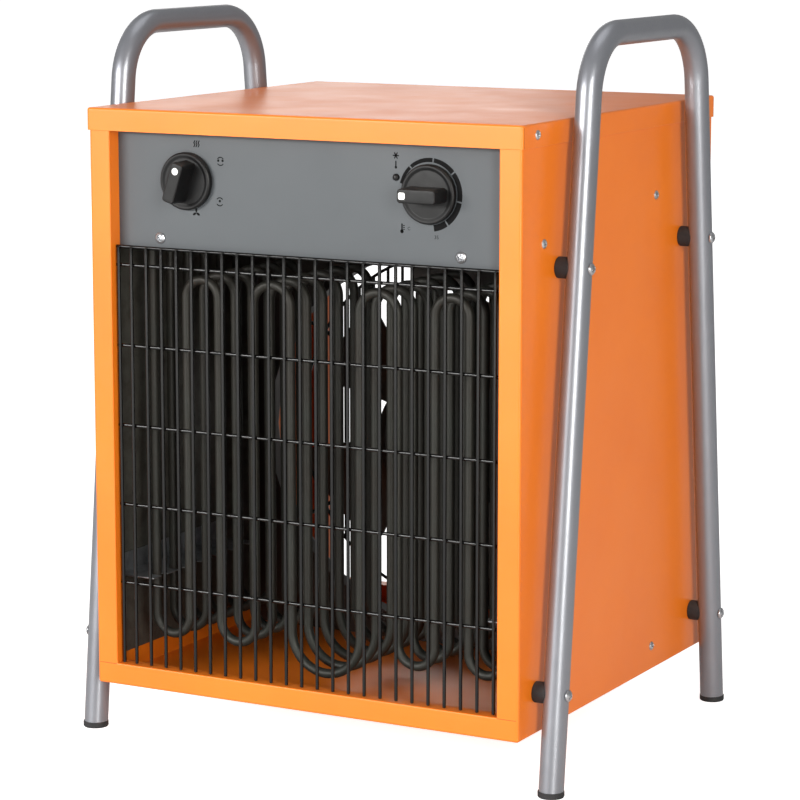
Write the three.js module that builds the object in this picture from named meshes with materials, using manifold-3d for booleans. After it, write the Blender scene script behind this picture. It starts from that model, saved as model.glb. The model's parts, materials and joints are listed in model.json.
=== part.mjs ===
import * as THREE from 'three';
import { mergeVertices } from 'three/addons/utils/BufferGeometryUtils.js';
import Module from 'manifold-3d';

const wasm = await Module();
wasm.setup();

// An industrial fan heater: a folded steel casing that hangs between two tube frames, with a control
// box on top, tubular elements behind the front grille and an axial fan behind them.
// Sizes are in millimetres. X points to the right-hand side, Y to the back and Z up from the floor.

// Casing. The heights stand on one another from the floor up: the duct, the shelf, the control box.
const casingWidth = 428;
const casingDepth = 404;
const floorGap = 50;
const controlHeight = 107;
const sheet = 1.2;
const cornerBend = 2.5;
const sideStrip = 21;
const bottomStrip = 20;
const topStrip = 16.5;
const returnDepth = 15;
const lidLip = 20;

// Air between pieces that touch, depth of welds, and the run of a cutter past what it cuts
const fit = 0.3;
const weldDepth = 0.4;
const overrun = 4;

// Control panel, knobs and what stands behind them
const panelFold = 12;
const panelAir = 1;
const knobSpacing = 241;
const knobRise = 44.6;
const spindleRadius = 3;
const spindleFlat = 1.9;
const bushRadius = 5;
const knobAir = 0.8;
const skirtRadius = 25.5;
const skirtThickness = 5.5;
const skirtChamfer = 1.6;
const gripLength = 37;
const gripWidth = 13;
const gripRise = 20.5;
const gripCorner = 3.2;
const gripEdge = 1.2;
const boreDepth = 16;
const selectorRestTurn = THREE.MathUtils.degToRad(-18);
const thermostatRestTurn = THREE.MathUtils.degToRad(90);
const switchWidth = 44;
const switchDepth = 42;
const switchCorner = 5;
const thermostatWidth = 36;
const thermostatDepth = 24;
const thermostatCorner = 4;
const bellowsRadius = 15;
const bellowsDepth = 8;
const spindleSocket = 14;
const resetInset = 32.6;
const resetRise = 12.7;
const resetRadius = 2.8;
const resetReach = 2.6;
const resetTail = 9;
const resetTravel = 2;
const cutoutWidth = 17;
const cutoutDepth = 16;
const cutoutCorner = 3;

// Shelf under the control box
const shelfFlange = 15;

// Front grille
const grilleRecess = 6.2;
const wireRadius = 1.55;
const wireCount = 25;
const wireMargin = 4.3;
const wireEndMargin = 5.9;
const wireLead = 13.1;
const crossWireDrop = 16.9;
const crossWireCount = 5;

// Heating elements. The legs stand at shares of the opening's half width.
const elementRadius = 4.25;
const elementCount = 6;
const elementSetback = 46;
const bankSetback = 79;
const legPlaceShares = [0.181, 0.378, 0.567, 0.741, 0.925];
const archDrop = 47;
const smallBendRise = 40.8;
const largeBendRise = 22.8;
const elementRise = 20;
const elementCollar = 7;
const collarHeight = 5;
const terminalRadius = 2;
const terminalLength = 12;
const insulatorWidth = 20;
const insulatorHeight = 10;
const insulatorEnd = 14;
const insulatorCorner = 5;
const supportRise = 93.8;
const supportLeg = 18;
const supportReach = 8;

// Heat shields between the elements and the casing's sides
const shieldSheet = 0.8;
const shieldSill = 18;

// Fan wall, duct, fan and guard
const wallInset = 135;
const wallFlange = 16;
const ductMargin = 27.5;
const ductSill = 15.5;
const ductHeadroom = 31;
const ductLength = 22;
const ductFlare = 8;
const tipAir = 37;
const rotorRadius = 58;
const rotorWall = 3;
const rotorReach = 23;
const rotorDepth = 54;
const hubWidth = 26;
const hubThickness = 2.5;
const bladeCount = 5;
const bladeThickness = 2;
const bladeDepth = 42;
const bladeCamber = 5;
const bladeReach = 3;
const bladeRootSpan = THREE.MathUtils.degToRad(23);
const bladeTipSpan = THREE.MathUtils.degToRad(24);
const bladeSweep = THREE.MathUtils.degToRad(4);
const firstBlade = THREE.MathUtils.degToRad(-8);
const statorAir = 3;
const statorShaft = 6;
const shaftAir = 0.3;
const motorFlangeStep = 6;
const motorFlangeThickness = 5;
const hubPlateMargin = 10;
const hubPlateBore = 16;
const hubPlateThickness = 2;
const guardWire = 2;
const uprightWire = 1.5;
const guardMargin = 8;
const guardBend = 14;
const hoopInset = 20.5;
const hoopShoulder = 10;
const spokeCount = 6;

// Limiter housing under the shelf, in the warm air
const limiterWidth = 93;
const limiterHeight = 68;
const limiterDepth = 20;
const limiterCorner = 16;
const limiterShift = 35.5;

// Tube frames, their feet, spacers and bolts
const tubeRadius = 11;
const tubeWall = 1.5;
const tubeOffset = 8.8;
const legInset = 24;
const legLean = 67.5;
const handleRise = 81;
const frameBend = 56;
const footThickness = 3.6;
const footRadius = 11.4;
const plugLength = 12;
const lowerBoltRise = 38;
const upperBoltDrop = 125;
const boltRadius = 3;
const boltHeadRadius = 5.2;
const boltCrownRadius = 3.6;
const boltHeadRise = 3.4;
const spacerRadius = 9.3;
const nutRadius = 6;
const nutThickness = 5;

// Electrical pieces inside the control box
const contactorWidth = 68;
const contactorDepth = 46;
const contactorHeight = 72;
const contactorStep = 14;
const contactorSetback = 97;
const blockInset = 109;
const blockSetback = 62;
const blockPitch = 13;
const blockWays = 5;
const blockDepth = 24;
const blockHeight = 20;
const blockGroove = 3;
const bulbRadius = 3.2;
const bulbLength = 78;
const bulbRise = 19;
const capillaryRadius = 1.2;
const capillaryOffset = 24.5;
const capillaryRise = 7.4;
const capillaryBend = 9;
const capillaryDrop = 12;
const glandInset = 64;
const glandRise = 47;
const threadRadius = 12.4;
const glandBore = 8.5;
const glandHex = 17.5;
const glandHexThickness = 7;
const glandBarrel = 15.2;
const glandNose = 11;
const glandReach = 30;
const glandTail = 9;
const lockNutThickness = 6;

// Facets
const holeSides = 8;
const wireSides = 6;
const elementSides = 5;
const elementSteps = 3;
const tubeSides = 12;
const boreSides = 8;
const tubeSteps = 4;
const ductSides = 28;
const fanSides = 20;
const knobSides = 24;
const spindleSteps = 4;
const bladeSteps = 4;
const chordSteps = 5;
const ringSides = 4;
const ringSteps = 20;

// Widths and depths that several pieces share
const halfWidth = casingWidth / 2;
const halfDepth = casingDepth / 2;
const innerHalfWidth = halfWidth - sheet;
const trayHalfWidth = innerHalfWidth - fit;
const openingHalfWidth = halfWidth - sideStrip;
const lipHalfWidth = halfWidth + fit + sheet;
const lipHalfDepth = halfDepth + fit + sheet;
const panelFront = -halfDepth + returnDepth + fit;
const panelBack = panelFront + sheet;
const knobReach = knobAir + skirtThickness + gripRise;
const frontOverhang = -panelFront + knobReach - lipHalfDepth;
const wallPlace = halfDepth - wallInset;
const wallBack = wallPlace + sheet;
const shelfFront = panelBack + fit;
const shelfBack = wallPlace - fit;
const tubeCentre = halfWidth + tubeOffset + tubeRadius;
const shieldFace = innerHalfWidth - fit - shieldSheet;

// Fan sizes, from the casing's width inwards
const ductMouth = trayHalfWidth - ductMargin;
const ductRadius = ductMouth - ductFlare;
const fanRadius = ductRadius - tipAir;
const rotorFront = wallPlace - rotorReach;
const rotorFace = rotorFront + rotorWall;
const rotorBack = rotorFront + rotorDepth;
const bladePlace = wallPlace - bladeReach;
const statorRadius = rotorRadius - rotorWall - statorAir;
const motorFlangeRadius = statorRadius - motorFlangeStep;
const motorFlangeFront = rotorBack + 2 * shaftAir;
const hubPlateRadius = motorFlangeRadius + hubPlateMargin;
const hubPlateFront = motorFlangeFront + motorFlangeThickness + fit;
const guardRadius = ductMouth + guardMargin;
const hoopRadius = guardRadius - hoopInset;
const uprightSpan = 2 * openingHalfWidth - wireMargin - wireEndMargin;
const wirePitch = (uprightSpan - wireLead) / (wireCount - 2);

// Heights, from the floor up
const casingFloor = floorGap + sheet;
const openingBottom = floorGap + bottomStrip;
const ductHeight = casingFloor + fit + ductSill + ductMouth;
const shelfHeight = ductHeight + ductMouth + ductHeadroom;
const shelfTop = shelfHeight + sheet;
const casingTop = shelfHeight + controlHeight;
const bodyTop = casingTop - sheet - fit;
const openingTop = bodyTop - topStrip;
const panelBottom = shelfHeight - shelfFlange - panelAir;
const knobHeight = shelfHeight + knobRise;
const resetX = knobSpacing / 2 - resetInset;
const resetHeight = knobHeight + resetRise;
const glandX = glandInset - halfWidth;
const glandHeight = shelfHeight + glandRise;

// Frame sizes, and the slope of its legs
const frameHeight = casingTop + handleRise;
const barHeight = frameHeight - tubeRadius;
const footSpread = casingDepth - 2 * legInset;
const topSpread = footSpread - 2 * legLean;
const legSlope = legLean / barHeight;
const boltHole = boltRadius + fit;
const boltHeights = [floorGap + lowerBoltRise, casingTop - upperBoltDrop];

// Places of the heating elements
const legPlaces = legPlaceShares.map((share) => share * openingHalfWidth);
const bankDepth = wallPlace - bankSetback + halfDepth - elementSetback;
const elementPitch = bankDepth / (elementCount - 1);
const elementDepths = Array.from({ length: elementCount }, (_, index) => (
  index * elementPitch + elementSetback - halfDepth
));
const elementEnd = shelfHeight + elementRise;

// Finishes
const orangePaint = { color: 0xe07a1e, roughness: 0.38, metalness: 0.1 };
const greyPaint = { color: 0x7c8284, roughness: 0.5, metalness: 0.15 };
const framePaint = { color: 0x75787d, roughness: 0.34, metalness: 0.55 };
const zincSteel = { color: 0xb9bcc0, roughness: 0.35, metalness: 0.9 };
const blackSteel = { color: 0x141414, roughness: 0.3, metalness: 0.4 };
const sheathSteel = { color: 0x3c3e3f, roughness: 0.45, metalness: 0.6 };
const blackPlastic = { color: 0x18181a, roughness: 0.42, metalness: 0 };
const rubber = { color: 0x1b1b1d, roughness: 0.7, metalness: 0 };
const ceramic = { color: 0xe6e1d6, roughness: 0.6, metalness: 0 };
const palePlastic = { color: 0xd7d6cf, roughness: 0.55, metalness: 0 };
const copper = { color: 0xb87043, roughness: 0.35, metalness: 0.9 };

// Turns a closed geometry into a solid that can be joined and cut.
function solid(geometry) {
  const bare = geometry.clone();
  bare.deleteAttribute('normal');
  bare.deleteAttribute('uv');
  const merged = mergeVertices(bare);
  const corners = Array.from(merged.index.array);
  const triVerts = [];
  for (let start = 0; start < corners.length; start += 3) {
    const [a, b, c] = corners.slice(start, start + 3);
    if (a !== b && b !== c && c !== a) {
      triVerts.push(a, b, c);
    }
  }
  const vertProperties = Float32Array.from(merged.attributes.position.array);
  const mesh = new wasm.Mesh({ numProp: 3, vertProperties, triVerts: Uint32Array.from(triVerts) });
  return new wasm.Manifold(mesh);
}

// Joins several solids into one.
function joined(first, ...others) {
  return others.reduce((whole, other) => whole.add(other), first);
}

// Cuts several solids out of one.
function without(first, ...cutters) {
  return cutters.reduce((whole, cutter) => whole.subtract(cutter), first);
}

// Gives a solid back as a geometry with flat facets.
function geometryOf(body) {
  const mesh = body.getMesh();
  const geometry = new THREE.BufferGeometry();
  geometry.setAttribute('position', new THREE.BufferAttribute(mesh.vertProperties, 3));
  geometry.setIndex(new THREE.BufferAttribute(mesh.triVerts, 1));
  const flat = geometry.toNonIndexed();
  flat.computeVertexNormals();
  return flat;
}

// A closed outline through a list of [x, y] points.
function outlineOf(points) {
  return new THREE.Shape(points.map(([x, y]) => new THREE.Vector2(x, y)));
}

// A regular outline whose first corner lies at the given turn.
function regular(radius, sides, turn = 0, x = 0, y = 0) {
  const points = [];
  for (let side = 0; side < sides; side += 1) {
    const angle = turn + (2 * Math.PI * side) / sides;
    points.push([x + radius * Math.cos(angle), y + radius * Math.sin(angle)]);
  }
  return outlineOf(points);
}

// A rectangle between two corners.
function rectangle(left, bottom, right, top) {
  return outlineOf([[left, bottom], [right, bottom], [right, top], [left, top]]);
}

// A centred rectangle with round corners.
function roundedRectangle(width, height, radius) {
  const x = width / 2;
  const y = height / 2;
  const outline = new THREE.Shape();
  outline.absarc(x - radius, -y + radius, radius, -Math.PI / 2, 0, false);
  outline.absarc(x - radius, y - radius, radius, 0, Math.PI / 2, false);
  outline.absarc(-x + radius, y - radius, radius, Math.PI / 2, Math.PI, false);
  outline.absarc(-x + radius, -y + radius, radius, Math.PI, 1.5 * Math.PI, false);
  return outline;
}

// Pushes an outline in X and Y upwards between two heights.
function alongZ(outline, bottom, top, curveSegments = 1) {
  const options = { depth: top - bottom, bevelEnabled: false, curveSegments };
  return solid(new THREE.ExtrudeGeometry(outline, options).translate(0, 0, bottom));
}

// Pushes an outline in X and Z backwards between two places on Y.
function alongY(outline, front, back, curveSegments = 1) {
  const options = { depth: back - front, bevelEnabled: false, curveSegments };
  const geometry = new THREE.ExtrudeGeometry(outline, options);
  return solid(geometry.rotateX(Math.PI / 2).translate(0, back, 0));
}

// Pushes an outline in Y and Z to the right between two places on X.
function alongX(outline, left, right, curveSegments = 1) {
  const options = { depth: right - left, bevelEnabled: false, curveSegments };
  const geometry = new THREE.ExtrudeGeometry(outline, options);
  const turn = new THREE.Matrix4().makeBasis(
    new THREE.Vector3(0, 1, 0),
    new THREE.Vector3(0, 0, 1),
    new THREE.Vector3(1, 0, 0),
  );
  return solid(geometry.applyMatrix4(turn).translate(left, 0, 0));
}

// Revolves [radius, height] points about Y. They run up the outside and down the inside.
function revolved(points, segments) {
  const profile = points.map(([radius, height]) => new THREE.Vector2(radius, height));
  return new THREE.LatheGeometry(profile, segments);
}

// The same, about Z.
function revolvedUp(points, segments) {
  return revolved(points, segments).rotateX(Math.PI / 2);
}

// Straight runs joined by round bends. Its stations lie only where a run ends or a bend turns,
// so that a tube along it gets one ring at each station.
class BentRoute extends THREE.Curve {
  constructor(corners, radii, bendSteps) {
    super();
    this.stations = [];
    const last = corners.length - 1;
    this.addStation(corners[0], corners[1].clone().sub(corners[0]).normalize());
    for (let index = 1; index < last; index += 1) {
      this.addBend(corners[index - 1], corners[index], corners[index + 1], radii[index - 1], bendSteps);
    }
    this.addStation(corners[last], corners[last].clone().sub(corners[last - 1]).normalize());
  }

  addStation(point, tangent) {
    const previous = this.stations.at(-1);
    if (!previous || previous.point.distanceTo(point) > weldDepth) {
      this.stations.push({ point, tangent });
    }
  }

  addBend(before, corner, after, radius, steps) {
    const inward = corner.clone().sub(before).normalize();
    const outward = after.clone().sub(corner).normalize();
    const turn = inward.angleTo(outward);
    const axis = inward.clone().cross(outward).normalize();
    const start = corner.clone().addScaledVector(inward, -radius * Math.tan(turn / 2));
    const arm = inward.clone().cross(axis).multiplyScalar(radius);
    const centre = start.clone().sub(arm);
    for (let step = 0; step <= steps; step += 1) {
      const angle = (turn * step) / steps;
      const point = centre.clone().add(arm.clone().applyAxisAngle(axis, angle));
      this.addStation(point, inward.clone().applyAxisAngle(axis, angle));
    }
  }

  get steps() {
    return this.stations.length - 1;
  }

  getPointAt(share, target = new THREE.Vector3()) {
    return target.copy(this.stations[Math.round(share * this.steps)].point);
  }

  getTangentAt(share, target = new THREE.Vector3()) {
    return target.copy(this.stations[Math.round(share * this.steps)].tangent);
  }
}

// A tube or rod of the given section along a bent route.
function tubeAlong(route, section) {
  return solid(new THREE.ExtrudeGeometry(section, { steps: route.steps, extrudePath: route }));
}

// An upright plate with round lower corners.
function roundFooted(half, bottom, top, bend) {
  const outline = new THREE.Shape();
  outline.moveTo(-half, top);
  outline.lineTo(-half, bottom + bend);
  outline.absarc(-half + bend, bottom + bend, bend, Math.PI, 1.5 * Math.PI, false);
  outline.absarc(half - bend, bottom + bend, bend, 1.5 * Math.PI, 2 * Math.PI, false);
  outline.lineTo(half, top);
  return outline;
}

// Where the legs' centre lines pass the bolts, as [y, z] pairs.
function boltPlaces() {
  const places = [];
  for (const side of [-1, 1]) {
    for (const height of boltHeights) {
      places.push([side * (footSpread / 2 - height * legSlope), height]);
    }
  }
  return places;
}

// One sheet folded round the bottom and sides, open at the top, with strips and returns round the
// front and rear openings and a nut welded inside each bolt hole.
function casingBody() {
  const bend = cornerBend - sheet;
  const outside = roundFooted(halfWidth, floorGap, bodyTop, cornerBend);
  const inside = roundFooted(innerHalfWidth, casingFloor, bodyTop + overrun, bend);
  const opening = roundFooted(openingHalfWidth, openingBottom, openingTop, bend);
  const rim = roundFooted(openingHalfWidth + sheet, openingBottom - sheet, openingTop, cornerBend);
  const shell = without(
    alongY(outside, -halfDepth, halfDepth),
    alongY(inside, -halfDepth + sheet, halfDepth - sheet),
  );
  const rims = joined(
    shell,
    alongY(rim, -halfDepth + sheet / 2, -halfDepth + returnDepth),
    alongY(rim, halfDepth - returnDepth, halfDepth - sheet / 2),
  );
  let body = without(rims, alongY(opening, -halfDepth - overrun, halfDepth + overrun));
  for (const [y, z] of boltPlaces()) {
    const nut = regular(nutRadius, 6, 0, y, z);
    const hole = regular(boltHole, holeSides, 0, y, z);
    body = joined(
      body,
      alongX(nut, innerHalfWidth - nutThickness, innerHalfWidth + weldDepth),
      alongX(nut, -innerHalfWidth - weldDepth, -innerHalfWidth + nutThickness),
    );
    body = without(body, alongX(hole, -halfWidth - overrun, halfWidth + overrun));
  }
  return body;
}

// A shallow tray turned upside down over the casing.
function lid() {
  const outside = roundedRectangle(2 * lipHalfWidth, 2 * lipHalfDepth, cornerBend);
  const inside = rectangle(-halfWidth - fit, -halfDepth - fit, halfWidth + fit, halfDepth + fit);
  const lipBottom = casingTop - lidLip;
  return without(
    alongZ(outside, lipBottom, casingTop),
    alongZ(inside, lipBottom - overrun, casingTop - sheet),
  );
}

// The recessed panel, folded back under the controls, with holes for two bushes and the reset button.
function controlPanel() {
  const fold = outlineOf([
    [panelFront, panelBottom],
    [panelFront + panelFold, panelBottom],
    [panelFront + panelFold, panelBottom + sheet],
    [panelBack, panelBottom + sheet],
    [panelBack, bodyTop],
    [panelFront, bodyTop],
  ]);
  const bushHole = bushRadius + fit;
  const holes = [
    regular(bushHole, holeSides, 0, -knobSpacing / 2, knobHeight),
    regular(bushHole, holeSides, 0, knobSpacing / 2, knobHeight),
    regular(resetRadius + fit, holeSides, 0, resetX, resetHeight),
  ];
  const cutters = holes.map((hole) => alongY(hole, panelFront - overrun, panelBack + overrun));
  return without(alongX(fold, -trayHalfWidth, trayHalfWidth), ...cutters);
}

// The floor of the control box: down behind the panel, up against the fan wall and up at the sides.
function elementShelf() {
  const low = shelfTop - shelfFlange;
  const high = shelfHeight + shelfFlange;
  const block = rectangle(shelfFront, low, shelfBack, high);
  const underside = rectangle(shelfFront + sheet, low - overrun, shelfBack + overrun, shelfHeight);
  const pocket = rectangle(shelfFront - overrun, shelfTop, shelfBack - sheet, high + overrun);
  const holes = [];
  for (const y of elementDepths) {
    for (const side of [-1, 1]) {
      const hole = regular(elementRadius + 2 * fit, holeSides, 0, side * legPlaces.at(-1), y);
      holes.push(alongZ(hole, shelfHeight - overrun, shelfTop + overrun));
    }
  }
  return without(
    alongX(block, -trayHalfWidth, trayHalfWidth),
    alongX(underside, -trayHalfWidth - overrun, trayHalfWidth + overrun),
    alongX(pocket, -trayHalfWidth + sheet, trayHalfWidth - sheet),
    ...holes,
  );
}

// Upright wires in front, welded on cross wires behind them, edge on edge.
function frontGrille() {
  const frontRow = grilleRecess - halfDepth;
  const backRow = frontRow + 2 * wireRadius - weldDepth;
  const wireBottom = openingBottom + fit;
  const topCross = panelBottom - fit - wireRadius;
  const nextCross = panelBottom - crossWireDrop;
  const crossPitch = (nextCross - openingBottom - wireRadius) / crossWireCount;
  const wires = [];
  for (let index = 0; index < wireCount; index += 1) {
    const along = index > 0 ? wireLead + (index - 1) * wirePitch : 0;
    const x = wireMargin - openingHalfWidth + along;
    const section = regular(wireRadius, wireSides, Math.PI / wireSides, x, frontRow);
    wires.push(alongZ(section, wireBottom, topCross));
  }
  const heights = [topCross];
  for (let index = 0; index < crossWireCount; index += 1) {
    heights.push(nextCross - index * crossPitch);
  }
  for (const z of heights) {
    const section = regular(wireRadius, wireSides, 0, backRow, z);
    wires.push(alongX(section, -openingHalfWidth + fit, openingHalfWidth - fit));
  }
  return joined(...wires);
}

// The corner points of one element, from its left end to its right end, and the radius of each bend.
function elementRoute(y) {
  const places = [...legPlaces.map((place) => -place).reverse(), ...legPlaces];
  const middle = legPlaces.length - 1;
  const corners = [new THREE.Vector3(places[0], y, elementEnd)];
  const radii = [];
  for (let leg = 0; leg < places.length - 1; leg += 1) {
    const low = casingFloor + (leg === middle ? largeBendRise : smallBendRise);
    const z = leg % 2 === 0 ? low : shelfHeight - archDrop;
    const radius = (places[leg + 1] - places[leg]) / 2;
    corners.push(new THREE.Vector3(places[leg], y, z), new THREE.Vector3(places[leg + 1], y, z));
    radii.push(radius, radius);
  }
  corners.push(new THREE.Vector3(places.at(-1), y, elementEnd));
  return new BentRoute(corners, radii, elementSteps);
}

// One tubular element with a collar under the shelf and a terminal pin at each end.
function heatingElement(y) {
  let element = tubeAlong(elementRoute(y), regular(elementRadius, elementSides));
  for (const side of [-1, 1]) {
    const x = side * legPlaces.at(-1);
    const collarTop = shelfHeight - fit;
    element = joined(
      element,
      alongZ(regular(elementCollar, 6, 0, x, y), collarTop - collarHeight, collarTop),
      alongZ(regular(terminalRadius, 6, 0, x, y), elementEnd - weldDepth, elementEnd + terminalLength),
    );
  }
  return element;
}

// A ceramic bar on the shelf that the ends of all elements pass through.
function insulatorBar(side) {
  const x = side * legPlaces.at(-1);
  const length = (elementCount - 1) * elementPitch + 2 * insulatorEnd;
  const outline = roundedRectangle(insulatorWidth, length, insulatorCorner);
  const bar = alongZ(outline, shelfTop + fit, shelfTop + fit + insulatorHeight);
  const middle = (elementDepths[0] + elementDepths.at(-1)) / 2;
  const holes = elementDepths.map((y) => {
    const hole = regular(elementRadius + 2 * fit, holeSides, 0, 0, y - middle);
    return alongZ(hole, shelfTop - overrun, shelfTop + insulatorHeight + overrun);
  });
  return { body: without(bar, ...holes), place: [x, middle, 0] };
}

// An angle on the side wall whose shelf is notched round the outer leg of each element.
function elementSupport(side) {
  const outerLeg = legPlaces.at(-1);
  const notch = elementRadius + 2 * fit;
  const wallFace = shieldFace - fit;
  const supportHeight = casingFloor + supportRise;
  const front = elementDepths[0] - supportLeg;
  const back = elementDepths.at(-1) + supportLeg;
  const upright = rectangle(front, supportHeight, back, supportHeight + supportLeg);
  const floor = new THREE.Shape();
  floor.moveTo(wallFace, back);
  floor.lineTo(outerLeg - supportReach, back);
  for (const y of [...elementDepths].reverse()) {
    floor.lineTo(outerLeg - supportReach, y + notch);
    floor.absarc(outerLeg, y, notch, Math.PI / 2, -Math.PI / 2, true);
    floor.lineTo(outerLeg - supportReach, y - notch);
  }
  floor.lineTo(outerLeg - supportReach, front);
  floor.lineTo(wallFace, front);
  const angle = joined(
    alongX(upright, wallFace - sheet, wallFace),
    alongZ(floor, supportHeight, supportHeight + sheet, 2),
  );
  return { body: angle, turn: side < 0 ? Math.PI : 0, shift: front + back };
}

// A thin sheet on the inside of the casing's side, cut out round the nuts, that keeps heat from it.
function heatShield(side) {
  const front = returnDepth - halfDepth + fit;
  const low = casingFloor + shieldSill;
  const outline = rectangle(front, low, wallPlace - fit, panelBottom - fit);
  const [near, far] = side < 0 ? [fit - innerHalfWidth, -shieldFace] : [shieldFace, innerHalfWidth - fit];
  const holes = boltPlaces().map(([y, z]) => (
    alongX(regular(nutRadius + 2 * fit, holeSides, 0, y, z), near - overrun, far + overrun)
  ));
  return without(alongX(outline, near, far), ...holes);
}

// The plate that carries the fan, flanged all round, with a flared duct that points forwards.
function fanWall() {
  const bottom = casingFloor + fit;
  const inner = trayHalfWidth - sheet;
  const block = roundFooted(trayHalfWidth, bottom, bodyTop, cornerBend);
  block.holes.push(regular(ductMouth, ductSides, Math.PI / 2, 0, ductHeight));
  block.holes.push(regular(threadRadius + fit, 2 * holeSides, 0, glandX, glandHeight));
  const capillaryX = knobSpacing / 2 - capillaryOffset;
  const capillaryHole = capillaryRadius + 2 * fit;
  block.holes.push(regular(capillaryHole, holeSides, 0, capillaryX, knobHeight + capillaryRise));
  const pocket = roundFooted(inner, bottom + sheet, bodyTop - sheet, cornerBend - sheet);
  const plate = without(
    alongY(block, wallPlace, wallPlace + wallFlange),
    alongY(pocket, wallBack, wallPlace + wallFlange + overrun),
  );
  const front = wallPlace - ductLength;
  const lip = sheet / 4;
  const profile = [
    [ductRadius, front],
    [ductRadius + sheet, front],
    [ductRadius + sheet, wallPlace - ductFlare],
    [ductRadius + ductFlare / 3, wallPlace - ductFlare / 4],
    [ductMouth + weldDepth, wallPlace + lip],
    [ductMouth + weldDepth, wallBack - lip],
    [ductRadius + ductFlare / 3, wallBack - ductFlare / 4],
    [ductRadius, wallBack - ductFlare],
    [ductRadius, front],
  ];
  return joined(plate, solid(revolved(profile, ductSides).translate(0, 0, ductHeight)));
}

// The turning can of the motor, open at the back, with a boss that runs on the fixed shaft.
function fanRotor() {
  const bore = statorShaft + shaftAir;
  const bossRadius = 2 * statorShaft;
  const profile = [
    [bore, rotorFront],
    [rotorRadius - rotorWall, rotorFront],
    [rotorRadius, rotorFace],
    [rotorRadius, rotorBack],
    [rotorRadius - rotorWall, rotorBack],
    [rotorRadius - rotorWall, rotorFace],
    [bossRadius, rotorFace],
    [bossRadius, rotorFace + bossRadius],
    [bore, rotorFace + bossRadius],
    [bore, rotorFront],
  ];
  return solid(revolved(profile, fanSides));
}

// The fixed half of the motor: shaft, wound core and rear flange.
function fanMotor() {
  const coreFront = rotorFace + 2 * statorShaft + 2 * shaftAir;
  const flangeBack = motorFlangeFront + motorFlangeThickness;
  const profile = [
    [0, rotorFront],
    [statorShaft, rotorFront],
    [statorShaft, coreFront],
    [statorRadius, coreFront],
    [statorRadius, rotorBack - rotorWall],
    [motorFlangeRadius, rotorBack],
    [motorFlangeRadius, flangeBack],
    [0, flangeBack],
  ];
  return solid(revolved(profile, fanSides));
}

// One blade, bent from a flat block: it winds round the axis, sweeps forwards and is hollow on one side.
function fanBlade(turn) {
  const geometry = new THREE.BoxGeometry(1, 1, 1, bladeSteps, chordSteps, 1);
  const places = geometry.attributes.position;
  const rootRadius = rotorRadius + hubThickness;
  for (let index = 0; index < places.count; index += 1) {
    const outward = places.getX(index) + 0.5;
    const along = 2 * places.getY(index);
    const radius = rootRadius + outward * (fanRadius - rootRadius);
    const span = bladeRootSpan + outward * (bladeTipSpan - bladeRootSpan);
    const angle = turn + bladeSweep * outward * outward + span * along;
    const hollow = bladeCamber * (1 - along * along);
    const y = bladePlace + (along * bladeDepth) / 2 + hollow - places.getZ(index) * bladeThickness;
    places.setXYZ(index, radius * Math.cos(angle), y, radius * Math.sin(angle));
  }
  return solid(geometry);
}

// The blades on their ring, which is pressed over the motor's can.
function fanImpeller() {
  const inner = rotorRadius + fit;
  const outer = rotorRadius + hubThickness + weldDepth;
  const front = bladePlace - hubWidth / 2;
  const back = bladePlace + hubWidth / 2;
  const ring = [[inner, front], [outer, front], [outer, back], [inner, back], [inner, front]];
  const blades = [];
  for (let index = 0; index < bladeCount; index += 1) {
    blades.push(fanBlade(firstBlade + (2 * Math.PI * index) / bladeCount));
  }
  return joined(solid(revolved(ring, fanSides)), ...blades);
}

// The uprights of the guard, within its hoop. Those beside the motor's plate stop at its edge.
function guardUprights(y) {
  const count = Math.floor((hoopRadius - hoopShoulder) / wirePitch);
  const wires = [];
  for (let index = 1; index <= count; index += 1) {
    const x = index * wirePitch;
    const high = Math.sqrt(hoopRadius ** 2 - x ** 2);
    const low = x < hubPlateRadius ? Math.sqrt(hubPlateRadius ** 2 - x ** 2) - 2 * weldDepth : -high;
    for (const side of [-1, 1]) {
      const section = regular(uprightWire, wireSides, 0, side * x, y);
      wires.push(alongZ(section, low, high));
      if (x < hubPlateRadius) {
        wires.push(alongZ(section, -high, -low));
      }
    }
  }
  return wires;
}

// The wire basket over the fan: spokes bent back from the wall, rings, uprights and the motor's plate.
function fanGuard() {
  const foot = wallBack + fit + guardWire;
  const crown = hubPlateFront + hubPlateThickness + guardWire - weldDepth;
  const hubEdge = hubPlateRadius - 2 * guardWire;
  const onSpoke = 2 * guardWire - weldDepth;
  const section = regular(guardWire, ringSides);
  const hoopPlace = crown - guardWire - uprightWire + weldDepth;
  const wires = guardUprights(hoopPlace);
  for (let index = 0; index < spokeCount; index += 1) {
    const angle = (2 * Math.PI * index) / spokeCount;
    const [alongSine, alongCosine] = [Math.sin(angle), Math.cos(angle)];
    const corners = [[guardRadius, foot], [guardRadius, crown], [hubEdge, crown]].map(([radius, y]) => (
      new THREE.Vector3(radius * alongSine, y, radius * alongCosine)
    ));
    wires.push(tubeAlong(new BentRoute(corners, [guardBend], elementSteps), section));
  }
  const rings = [
    [guardRadius + onSpoke, foot, guardWire],
    [guardRadius + onSpoke, (foot + crown) / 2, guardWire],
    [hoopRadius, hoopPlace, uprightWire],
  ];
  for (const [radius, y, wire] of rings) {
    const ring = new THREE.TorusGeometry(radius, wire, ringSides, ringSteps);
    wires.push(solid(ring.rotateX(Math.PI / 2).translate(0, y, 0)));
  }
  const plate = [
    [hubPlateBore, hubPlateFront],
    [hubPlateRadius, hubPlateFront],
    [hubPlateRadius, hubPlateFront + hubPlateThickness],
    [hubPlateBore, hubPlateFront + hubPlateThickness],
    [hubPlateBore, hubPlateFront],
  ];
  return joined(solid(revolved(plate, ringSteps)), ...wires);
}

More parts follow.
